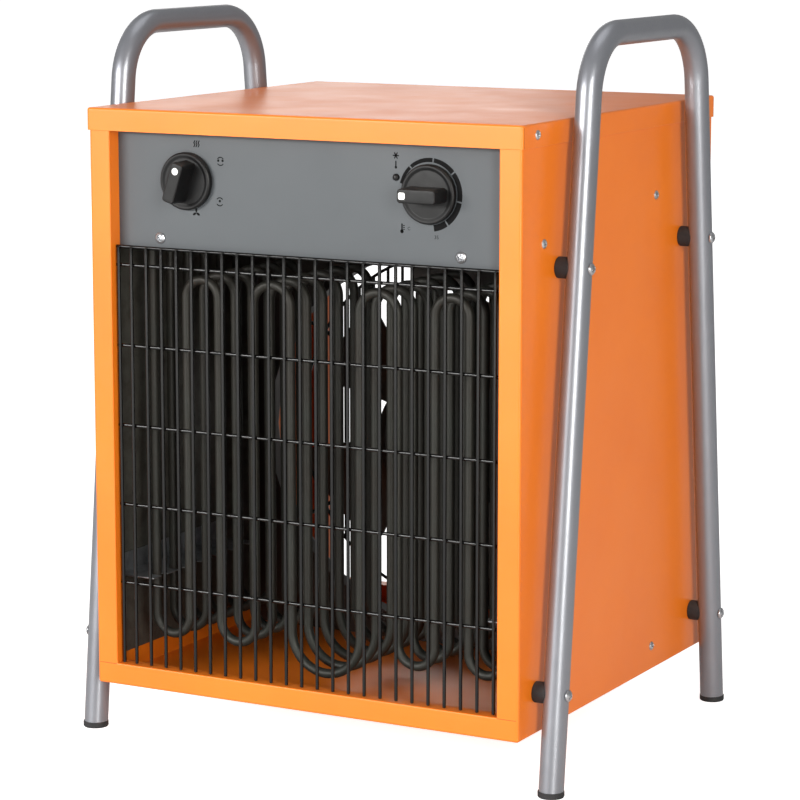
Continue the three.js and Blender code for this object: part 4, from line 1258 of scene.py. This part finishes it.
@dataclass
class FanUnit:
    """The fan wall with its duct, the impeller, its motor and the guard behind them."""

    height: float = 252 * MM
    rotor_radius: float = 58 * MM
    fan_radius: float = 140 * MM
    hub_thickness: float = 2.5 * MM
    hub_width: float = 26 * MM
    blade_place: float = 69 * MM
    blade_depth: float = 42 * MM
    blade_camber: float = 5 * MM
    blade_thickness: float = 2 * MM
    blade_count: int = 5
    root_span: float = math.radians(23)
    tip_span: float = math.radians(24)
    sweep: float = math.radians(4)
    first_blade: float = math.radians(-8)
    guard_wire: float = 2 * MM
    guard_radius: float = 193 * MM
    upright_wire: float = 1.5 * MM
    guard_bend: float = 14 * MM
    spoke_count: int = 6
    hoop_radius: float = 172.5 * MM
    upright_pitch: float = 15.77 * MM
    upright_count: int = 10
    hub_plate: float = 56 * MM
    plate_bore: float = 16 * MM
    plate_thickness: float = 2 * MM
    screw_circle: float = 36 * MM

    def __post_init__(self) -> None:
        """Sets the fan's centre and reads the boxes of its motor."""
        self.centre = self.height * Z
        self.motor_front, self.motor_back = (corner[1] for corner in corners("fan_motor"))

    def turned(self, profile: Array) -> Array:
        """A profile of (radius, Y) turned about the fan's axis."""
        return revolved(profile, ROUND, self.centre, Y, Z)

    def blade(self, turn: float) -> Array:
        """One blade as a closed grid: its front face one way and its back face the other way.

        With o outwards from 0 to 1 and a across from -1 to 1, a point lies at the angle
        turn + sweep * o^2 + span(o) * a, and its depth is place + a * depth / 2 + camber * (1 - a^2).
        The tip's corners are rounded by narrowing a near o = 1.

        Args:
            turn: Angle of the blade's root.

        Returns:
            A grid of rows by points by 3.
        """
        outward = np.linspace(0, 1, 22)[:, None]
        along = np.linspace(-1, 1, 17) * (1 - 0.3 * np.clip((outward - 0.84) / 0.16, 0, 1) ** 2.2)
        root = self.rotor_radius + self.hub_thickness
        radius = root + outward * (self.fan_radius - root)
        span = self.root_span + outward * (self.tip_span - self.root_span)
        angle = turn + self.sweep * outward**2 + span * along
        depth = self.blade_place + along * self.blade_depth / 2 + self.blade_camber * (1 - along**2)
        half = self.blade_thickness / 2
        across, up = radius * np.cos(angle), self.height + radius * np.sin(angle)
        front, back = joined(across, depth - half, up), joined(across, depth + half, up)
        return np.concatenate([front, back[:, ::-1]], axis=1)

    def build_impeller(self, paint: Material) -> None:
        """Builds the blades on their ring, and the motor's turning can with its pressed front.

        Args:
            paint: The fan's paint.
        """
        inner, outer = self.rotor_radius + FIT, self.rotor_radius + self.hub_thickness + 0.4 * MM
        front, back = (self.blade_place + sign * self.hub_width / 2 for sign in (-1, 1))
        turns = [self.first_blade + TAU * index / self.blade_count for index in range(self.blade_count)]
        blades = Surface("impeller_blades").add(*[self.blade(turn) for turn in turns])
        blades.add(self.turned([(inner, front), (outer, front), (outer, back), (inner, back)]), loop=True)
        blades.settle(paint, "black_steel", "fan_impeller", body=Body.FAN)
        front, back = (corner[1] for corner in corners("fan_rotor"))
        radius = self.rotor_radius / MM
        can = np.array([
            (6.3, 15), (6.3, 1), (12, 0.2), (20, 2.2), (44, 2.2), (50, 0.2), (radius, 2.4), (radius, 0),
            (radius - 3, 0), (radius - 3, 5), (12, 5), (12, 15),
        ]) * MM
        can[:, 1] += np.where(np.isin(np.arange(12), (7, 8)), back, front)
        rotor = Surface("rotor_can").add(self.turned(eased(can, 0.9 * MM)), loop=True)
        rotor.settle(paint, "black_steel", "fan_rotor", body=Body.FAN)

    def build_motor(self, plate: Material) -> None:
        """Builds the fixed half of the motor: shaft, wound core and rear flange.

        Args:
            plate: The motor's material.
        """
        front, back = self.motor_front, self.motor_back
        profile = eased([
            (HAIR, front), (6 * MM, front), (6 * MM, front + 16 * MM), (52 * MM, front + 16 * MM),
            (52 * MM, back - 8.6 * MM), (46 * MM, back - 5 * MM), (46 * MM, back), (14 * MM, back),
            (12 * MM, back - 2 * MM), (HAIR, back - 2 * MM),
        ], 0.5 * MM)
        Surface("motor_core").add(self.turned(profile)).settle(plate, "zinc_steel", "fan_motor")

    def guard_uprights(self, place: float) -> Array:
        """The guard's uprights, which end on the hoop and at the edge of the motor's plate.

        At the distance x from the middle an upright reaches the height sqrt(hoop^2 - x^2), and one that
        meets the plate starts at sqrt(plate^2 - x^2).

        Args:
            place: The depth of their centre lines.

        Returns:
            Count by rows by points by 3.
        """
        across = self.upright_pitch * np.arange(1, self.upright_count + 1)
        high = np.sqrt(self.hoop_radius**2 - across**2)
        low = np.sqrt(np.clip(self.hub_plate**2 - across**2, 0, None))
        upper = joined(across, np.where(low > 0, low, -high), high)
        spans = np.concatenate([upper, joined(across, -high, -low)[low > 0]])
        spans = np.concatenate([spans, spans * (-1, 1, 1)])[..., None]
        section = ring(self.upright_wire, 12)
        return joined(spans[:, :1] + section[:, 0], place + section[:, 1], self.height + spans[:, 1:])

    def build_guard(self, enamel: Material) -> None:
        """Builds the guard: bent spokes, side rings, the hoop with its uprights, and the motor's plate.

        Args:
            enamel: The guard's enamel.
        """
        wire, thin, plate = self.guard_wire, self.upright_wire, self.hub_plate
        foot = corners("fan_guard")[0][1] + wire
        seat = self.motor_back + FIT
        rear = seat + self.plate_thickness
        crown = rear + wire - WELD
        edge = self.guard_radius
        flat = bent([(edge, foot - wire), (edge, crown), (plate - 2 * wire, crown)], [self.guard_bend], 10)
        guard = Surface("guard_wires")
        for angle in circle(self.spoke_count):
            outward = math.sin(angle) * X + math.cos(angle) * Z
            across = math.cos(angle) * X - math.sin(angle) * Z
            guard.add(swept(self.centre + flat[:, :1] * outward + flat[:, 1:] * Y, across, ring(wire, 12)))
        outer, hoop = edge + 2 * wire - WELD, crown - wire - thin + WELD
        for radius, place, thick in (
            (outer, foot, wire), (outer, (foot + crown) / 2, wire), (self.hoop_radius, hoop, thin)
        ):
            guard.add(self.turned(ring(thick, 12) + (radius, place)), loop=True)
        guard.add(*self.guard_uprights(hoop))
        bore = self.plate_bore
        guard.add(self.turned([(bore, seat), (plate, seat), (plate, rear), (bore, rear)]), loop=True)
        for index in range(4):
            angle = (index + 0.5) * math.pi / 2
            spot = self.centre + self.screw_circle * (math.sin(angle) * X + math.cos(angle) * Z) + rear * Y
            guard.add(screw(spot, Y, 0.3 * index, 3.2 * MM, 2.0 * MM))
        guard.settle(enamel, "black_steel", "fan_guard", sharp=50)

    def build(self, finishes: Finishes) -> None:
        """Builds the fan wall, the fan, its guard and the limiter's housing with two cover screws.

        Args:
            finishes: The heater's finishes.
        """
        soften("fan_wall", "fan_wall_sheet", 0.5 * MM, finishes.fan, "black_steel")
        self.build_impeller(finishes.fan)
        self.build_motor(finishes.galvanised)
        self.build_guard(finishes.wire)
        soften("limiter_housing", "limiter_case", 1.2 * MM, finishes.fan, "black_steel")
        low, high = corners("limiter_housing")
        spots = [low + (share, 0, 0.5) * (high - low) for share in (0.14, 0.86)]
        screws = [screw(spot, -Y, 0.4 + 0.7 * index, 3 * MM, 1.6 * MM) for index, spot in enumerate(spots)]
        Surface("limiter_screws").add(*screws).settle(finishes.fan, "black_steel", sharp=50)


@dataclass
class Knob:
    """A control knob with a dished skirt, a raised grip and a white pointer mark."""

    node: str
    body: Body
    turn: float
    mark: Array
    air: float = 0.8 * MM
    skirt_radius: float = 25.5 * MM
    skirt_thickness: float = 5.5 * MM
    grip_length: float = 37 * MM
    grip_width: float = 13 * MM
    grip_rise: float = 20.25 * MM
    grip_corner: float = 3.4 * MM
    grip_edge: float = 1.3 * MM

    def __post_init__(self) -> None:
        """Reads the knob's place from its joint and the panel's face."""
        joint = next(item for item in frame["joints"] if item["child"] == self.body.value)
        self.place = np.array(joint["pos_m"], float)
        self.place[1] = corners("control_panel")[0][1]
        self.rim = self.air + self.skirt_thickness
        self.top = self.rim + self.grip_rise

    def on_panel(self, points: Array) -> Array:
        """Takes points of the knob's own axes, across, along the pointer and outward, to their place."""
        cosine, sine = math.cos(self.turn), math.sin(self.turn)
        return self.place + points @ np.array([cosine * X + sine * Z, cosine * Z - sine * X, -Y])

    def skirt_grid(self) -> Array:
        """The skirt, turned about the knob's axis, with a rim and a shallow dish inside it.

        Returns:
            A grid of rows by points by 3.
        """
        rim, radius = self.rim, self.skirt_radius
        profile = bent([
            (HAIR, self.air), (radius, self.air), (radius, rim - 1.2 * MM), (radius - 1.3 * MM, rim),
            (radius - 2.6 * MM, rim), (radius - 5.0 * MM, rim - 0.9 * MM), (HAIR, rim - 0.2 * MM),
        ], [0.3 * MM, 0.9 * MM, 0.5 * MM, 0.9 * MM, 2.0 * MM], 4)
        return self.on_panel(revolved(profile, ROUND, np.zeros(3), Z, X))

    def grip_grid(self) -> Array:
        """The grip: rounded rectangles that shrink upwards, with a soft upper edge and hollow flanks.

        Returns:
            A grid of rows by points by 3.
        """
        base, top, edge, draft = self.rim - 1.2 * MM, self.top, self.grip_edge, 0.45 * MM
        angle = np.linspace(0, math.pi / 2, 6)
        rows = [
            (0.0, base), (0.0, base + 1.5 * MM), (0.25 * MM, base + 8 * MM), (draft, top - edge),
            *zip(draft + edge * (1 - np.cos(angle)), top - edge + edge * np.sin(angle)),
            (4 * MM, top + 0.12 * MM),
        ]
        return self.on_panel(tapered(self.grip_width, self.grip_length, self.grip_corner, 1.2 * MM, rows))

    def build(self, finishes: Finishes) -> None:
        """Builds the knob, and its mark inlaid in the top of the grip near its end.

        Args:
            finishes: The heater's finishes.
        """
        knob = Surface(f"{self.node}_moulding").add(self.skirt_grid(), self.grip_grid())
        knob.settle(finishes.knob, "black_plastic", self.node, body=self.body, sharp=45)
        inlay = np.array([np.insert(self.mark, 2, self.top + rise * MM, axis=1) for rise in (-1.0, 0.22)])
        mark = Surface(f"{self.node}_mark").add(self.on_panel(inlay))
        mark.settle(finishes.white_ink, "black_plastic", body=self.body)


def stroke(start: tuple, end: tuple, width: float) -> Array:
    """A round-ended line between two points, in millimetres.

    Args:
        start: First point.
        end: Second point.
        width: Its width.

    Returns:
        The outline, by 2.
    """
    start, end = np.array(start, float), np.array(end, float)
    heading = math.atan2(*(end - start)[::-1])
    turn = heading + np.linspace(-math.pi / 2, math.pi / 2, 5)
    cap = width / 2 * joined(np.cos(turn), np.sin(turn))
    return np.concatenate([end + cap, start - cap])


def arc(inner: float, outer: tuple, start: float, end: float) -> Array:
    """A piece of a ring whose outer radius changes evenly along it, in millimetres.

    Args:
        inner: Inner radius.
        outer: Outer radius at both ends.
        start: First angle in degrees.
        end: Last angle.

    Returns:
        The outline, by 2.
    """
    angle = np.radians(np.linspace(start, end, 16))
    spoke = joined(np.cos(angle), np.sin(angle))
    return np.concatenate([np.linspace(*outer, 16)[:, None] * spoke, inner * spoke[::-1]])


@dataclass
class PanelPrint:
    """The printed scale and signs round the knobs, as thin plates of ink on the panel."""

    thickness: float = 0.05 * MM
    scale_gaps: tuple = (166, 130, 83, 39, -12, -56, -83)
    gap: float = 2.6

    def __post_init__(self) -> None:
        """Reads the panel's face."""
        self.face = corners("control_panel")[0][1]

    def plates(self, name: str, outlines: list[tuple[Array, float, float]], finishes: Finishes) -> None:
        """Gives flat outlines the ink's thickness on the panel.

        Args:
            name: The piece's name.
            outlines: Each outline with its place across and up, in millimetres.
            finishes: The heater's finishes.
        """
        depths = np.array([[self.face + 0.02 * MM], [self.face - self.thickness]])
        grids = [joined((x + flat[:, 0]) * MM, depths, (z + flat[:, 1]) * MM) for flat, x, z in outlines]
        Surface(name).add(*grids).settle(finishes.black_ink, "grey_paint")

    def scale(self) -> list[tuple[Array, float, float]]:
        """The thermostat's scale: pieces of a ring that grow wider clockwise.

        Returns:
            Each outline with its place across and up, in millimetres.
        """
        gaps, outlines = self.scale_gaps, []
        for start, end in zip(gaps[:-1], gaps[1:]):
            ends = (start - self.gap / 2, end + self.gap / 2)
            outer = [29.3 + 3.0 * (gaps[0] - angle) / (gaps[0] - gaps[-1]) for angle in ends]
            outlines.append((arc(26.6, outer, *ends), 119.8, 513.0))
        return outlines

    def signs(self) -> list[tuple[Array, float, float]]:
        """The small signs at the positions: a fan, heat waves, faces, a star, a drop and a thermometer.

        Returns:
            Each outline with its place across and up, in millimetres.
        """
        leaf = 7.2 * joined(0.27 * np.cos(circle(18)) + 0.3, 0.14 * np.sin(circle(18)))
        outlines = []
        for angle in math.pi / 2 + circle(3):
            cosine, sine = math.cos(angle), math.sin(angle)
            outlines.append((leaf @ [[cosine, sine], [-sine, cosine]], -112.2, 484.8))
        for shift in (-2.2, 0.0, 2.2):
            wave = [(shift - 0.5, -2.6), (shift + 0.6, -0.8), (shift - 0.5, 0.9), (shift + 0.6, 2.7)]
            outlines += [(stroke(*ends, 1.0), -111.3, 545.5) for ends in zip(wave[:-1], wave[1:])]
        for x, z, dots in ((-86.8, 531.2, (-2.2, 2.2)), (-87.8, 495.7, (0.0,))):
            outlines += [(ring(1.15, 14) + (dot, 0.6), x, z) for dot in dots]
            outlines += [(arc(3.1, (4.0, 4.0), start, start + 110), x, z) for start in (215, 35)]
        for angle in np.radians((0, 60, 120)):
            tip = 2.6 * np.array([math.cos(angle), math.sin(angle)])
            outlines.append((stroke(-tip, tip, 1.0), 87.6, 543.8))
        outlines += [(stroke((0, -2.4), (0, 2.6), 1.2), 87.6, 536.2), (ring(1.1, 18), 87.6, 533.8)]
        outlines += [(stroke((0, -3.0), (0, 3.4), 1.3), 93.5, 482.4), (ring(1.7, 18), 93.5, 479.7)]
        return outlines + [(stroke((1.3, rise), (2.5, rise), 0.7), 93.5, 482.4) for rise in (-1.0, 0.6, 2.2)]

    def lettering(self, text: str, size: float, x: float, z: float) -> Object:
        """Plain printed characters, made a mesh before they are put in place.

        Args:
            text: The characters.
            size: Their height in metres.
            x: Place of their middle across.
            z: Place of their foot.

        Returns:
            The piece.
        """
        name = f"print_{text.lower()}"
        curve = bpy.data.curves.new(name, "FONT")
        curve.body, curve.size, curve.extrude, curve.align_x = text, size, self.thickness / 2, "CENTER"
        source = link(name + "_text", curve)
        bpy.context.view_layer.update()
        mesh = bpy.data.meshes.new_from_object(source.evaluated_get(bpy.context.evaluated_depsgraph_get()))
        bpy.data.objects.remove(source)
        mesh.name = name
        place = Matrix.Translation((x, self.face - self.thickness / 2 + 0.01 * MM, z))
        mesh.transform(place @ Matrix.Rotation(math.pi / 2, 4, "X"))
        tidy_mesh(mesh)
        return link(name, mesh)

    def build(self, finishes: Finishes) -> None:
        """Prints the panel.

        Args:
            finishes: The heater's finishes.
        """
        self.plates("thermostat_scale", self.scale(), finishes)
        self.plates("panel_signs", self.signs(), finishes)
        for text, size, x, z in (("35", 4.4, 126.6, 474.8), ("C", 4.0, 100.2, 481.0)):
            settle(self.lettering(text, size * MM, x * MM, z * MM), finishes.black_ink, "grey_paint")


@dataclass
class ControlBox:
    """The control panel with its screws, knobs, reset button and prints, and what lies behind it."""

    screw_spots: tuple = ((-150, 460.5), (150, 460.5))
    gland_depth: float = 30 * MM
    rib_count: int = 16
    rib_rise: float = 0.35 * MM

    def build_panel(self, finishes: Finishes) -> None:
        """Builds the panel with soft edges, its cross-recess screws, its knobs and its prints.

        Args:
            finishes: The heater's finishes.
        """
        soften("control_panel", "control_panel_sheet", 0.35 * MM, finishes.grey, "grey_paint")
        face = corners("control_panel")[0][1]
        heads = [
            screw(np.array([x * MM, face, z * MM]), -Y, 0.55 + 0.5 * index, 5 * MM, 2.8 * MM)
            for index, (x, z) in enumerate(self.screw_spots)
        ]
        Surface("panel_screws").add(*heads).settle(finishes.zinc, "zinc_steel", sharp=50)
        dot = ring(3.1 * MM, 32) + (0, 11 * MM)
        block = rounded(6.0 * MM, 6.2 * MM, 1.6 * MM) + (0, 13.2 * MM)
        Knob("selector_knob", Body.SELECTOR, math.radians(-18), dot).build(finishes)
        Knob("thermostat_knob", Body.THERMOSTAT, math.radians(90), block).build(finishes)
        PanelPrint().build(finishes)

    def build_reset(self, plastic: Material) -> None:
        """Builds the reset button: a short rod with a domed end.

        Args:
            plastic: The button's material.
        """
        low, high = corners("reset_button")
        length, radius = high[1] - low[1], (high[0] - low[0]) / 2
        angle = np.linspace(0, math.pi / 2, 7)
        dome = joined(radius * np.cos(angle) + 0.02 * MM, length - radius * 0.6 * (1 - np.sin(angle)))
        origin = (low + high) / 2 + Y * length / 2
        rod = revolved([(HAIR, 0), (radius, 0), *dome], 32, origin, -Y, X)
        Surface("reset_plunger").add(rod).settle(plastic, "black_plastic", "reset_button", body=Body.RESET)

    def build_gland(self, finishes: Finishes) -> None:
        """Builds the cable gland: a flanged hexagon, a ribbed dome nut and its rubber seal.

        The ribs stand out where the sine of their count times the turn is above zero.

        Args:
            finishes: The heater's finishes.
        """
        low, high = corners("cable_gland")
        seat = (low + high) / 2 * (1, 0, 1) + (high[1] - self.gland_depth) * Y
        nose = bent(np.array([
            (8.5, 29.0), (8.5, 30.0), (11.0, 30.0), (14.6, 17.0), (15.2, 14.0), (15.2, 7.2), (12.4, 7.2),
            (12.4, -11.0), (8.5, -11.0),
        ]) * MM, [0.4 * MM, 0.8 * MM, 3 * MM, 1.2 * MM, 0.5 * MM, 0.3 * MM, 0.3 * MM], 4)
        turn = circle(64)
        ribs = self.rib_rise * np.maximum(np.sign(np.sin(self.rib_count * turn)), 0)
        bulge = smooth(13.5 * MM, 15.0 * MM, nose[:, :1]) * ribs
        spoke = joined(np.cos(turn), 0, -np.sin(turn))
        hexagon = eased(np.array([(12.5, 0), (17.4, 0), (17.4, 7), (12.5, 7)]) * MM, 0.8 * MM)
        grids = revolved(nose, 64, seat, Y, X) + bulge[..., None] * spoke, revolved(hexagon, 6, seat, Y, X)
        gland = Surface("gland_moulding").add(*grids, loop=True)
        gland.settle(finishes.knob, "black_plastic", "cable_gland")
        seal = np.array([(8.4, 24), (8.4, 29.2), (5.2, 28.6), (4.6, 26), (4.6, 22), (8.4, 22)]) * MM
        grid = revolved(bent(seal, [0.5 * MM, 0.6 * MM, 0.6 * MM, 0.4 * MM], 3), 48, seat, Y, X)
        Surface("gland_seal").add(grid, loop=True).settle(finishes.rubber, "rubber")

    def dress_inside(self, finishes: Finishes) -> None:
        """Dresses the pieces inside the box, which keep their CAD shapes.

        Args:
            finishes: The heater's finishes.
        """
        sides = [side.name.lower() for side in Side]
        for node, width in (("element_shelf", 0.35), *[(f"element_support_{side}", 0.3) for side in sides]):
            soften(node, f"{node}_sheet", width * MM, finishes.galvanised, "zinc_steel")
        for node in ("selector_switch", "cutout_body", "contactor", "terminal_block"):
            soften(node, f"{node}_moulding", 0.7 * MM, finishes.pale, "pale_plastic")
        for material, nodes in (
            (finishes.ceramic, [f"insulator_bar_{side}" for side in sides]),
            (finishes.shield, [f"heat_shield_{side}" for side in sides]),
            (finishes.zinc, ["selector_spindle", "thermostat_spindle", "thermostat_body"]),
            (finishes.copper, ["thermostat_sensor"]), (finishes.knob, ["gland_nut"]),
        ):
            for node in nodes:
                dress(node, material)

    def build(self, finishes: Finishes) -> None:
        """Builds the control box.

        Args:
            finishes: The heater's finishes.
        """
        self.build_panel(finishes)
        self.build_reset(finishes.knob)
        self.build_gland(finishes)
        self.dress_inside(finishes)


@dataclass
class Studio:
    """The pale floor, the lights and the camera at the photograph's angle."""

    eye: tuple = (1.3123, -2.4393, 0.7736)
    heading: tuple = (-0.46882, 0.86703, -0.16875)
    lens: float = 136.7
    floor_size: float = 60.0
    world_strength: float = 0.3
    boxes: tuple = (
        ("key", (-1.6, -3.75, 1.3), (0, 0, 0.22), (2.3, 0.7), 164, (1, 0.99, 0.965)),
        ("fill", (2.75, -2.9, 1.2), (0, 0, 0.25), (0.9, 2.2), 132, (1, 0.985, 0.93)),
        ("top", (0.2, 0.4, 3.2), (0, 0, 0.4), (2.0, 2.0), 14, (1, 1, 1)),
        ("back", (-3.4, 4.1, 1.5), (0, 0, 0.5), (3.0, 1.6), 25, (1, 0.99, 0.96)),
    )

    def aimed(self, name: str, data: object, place: tuple, heading: Vector) -> Object:
        """Links a camera or a light that stands at a place and looks along a direction.

        Args:
            name: Its name.
            data: The camera's or the light's data.
            place: Where it stands.
            heading: Where it looks.

        Returns:
            The object.
        """
        made = link(name, data)
        made.location = place
        made.rotation_mode = "QUATERNION"
        made.rotation_quaternion = heading.to_track_quat("-Z", "Y")
        return made

    def build_camera(self) -> None:
        """Places the camera and makes it the scene's."""
        data = bpy.data.cameras.new("view")
        data.lens, data.sensor_width, data.clip_end = self.lens, 36.0, 200.0
        bpy.context.scene.camera = self.aimed("view", data, self.eye, Vector(self.heading))

    def build_floor(self) -> None:
        """Lays the pale floor, which shines a little towards the camera only."""
        mesh = bpy.data.meshes.new("floor")
        flat = self.floor_size / 2 * np.array([(-1, -1, 0), (1, -1, 0), (1, 1, 0), (-1, 1, 0)])
        mesh.from_pydata(flat.tolist(), [], [(0, 1, 2, 3)])
        floor = link("floor", mesh)
        coat = Coat("floor_white", 0.7)
        cloud = coat.cloud((1.2, 2.0, 0.5), 0.3, 0.7)
        coat.feed("Base Color", coat.mix(cloud, (0.86, 0.86, 0.86, 1), (0.84, 0.84, 0.84, 1)))
        seen = coat.add("ShaderNodeLightPath").outputs["Is Camera Ray"]
        coat.feed("Emission Strength", coat.spread(seen, 0.0, 1.0, (0.0, 0.8)))
        coat.fixed(Emission_Color=(1, 1, 1, 1))
        mesh.materials.append(coat.material)

    def build_lights(self) -> None:
        """Sets the even world and the soft boxes: name, place, aim, size, watts and colour of each."""
        world = bpy.data.worlds.new("studio")
        world.use_nodes = True
        background = world.node_tree.nodes["Background"].inputs
        background["Color"].default_value = (1.0, 1.0, 1.0, 1.0)
        background["Strength"].default_value = self.world_strength
        bpy.context.scene.world = world
        for name, place, aim, size, power, tint in self.boxes:
            data = bpy.data.lights.new(name, "AREA")
            data.shape, data.size, data.size_y = "RECTANGLE", *size
            data.energy, data.color = power, tint
            self.aimed(name, data, place, Vector(aim) - Vector(place))

    def build(self) -> None:
        """Builds the studio."""
        self.build_camera()
        self.build_floor()
        self.build_lights()
        bpy.context.scene.view_settings.view_transform = "Standard"


def main() -> None:
    """Builds the studio and the heater, in order."""
    logging.basicConfig(level=logging.INFO, format="%(message)s")
    Studio().build()
    finishes = Finishes()
    frames = [SideFrame(side) for side in Side]
    for part in (Casing(), *frames, FrontGrille(), ElementBank(), FanUnit(), ControlBox()):
        LOG.info("building %s", type(part).__name__)
        part.build(finishes)


if __name__ == "__main__":
    main()
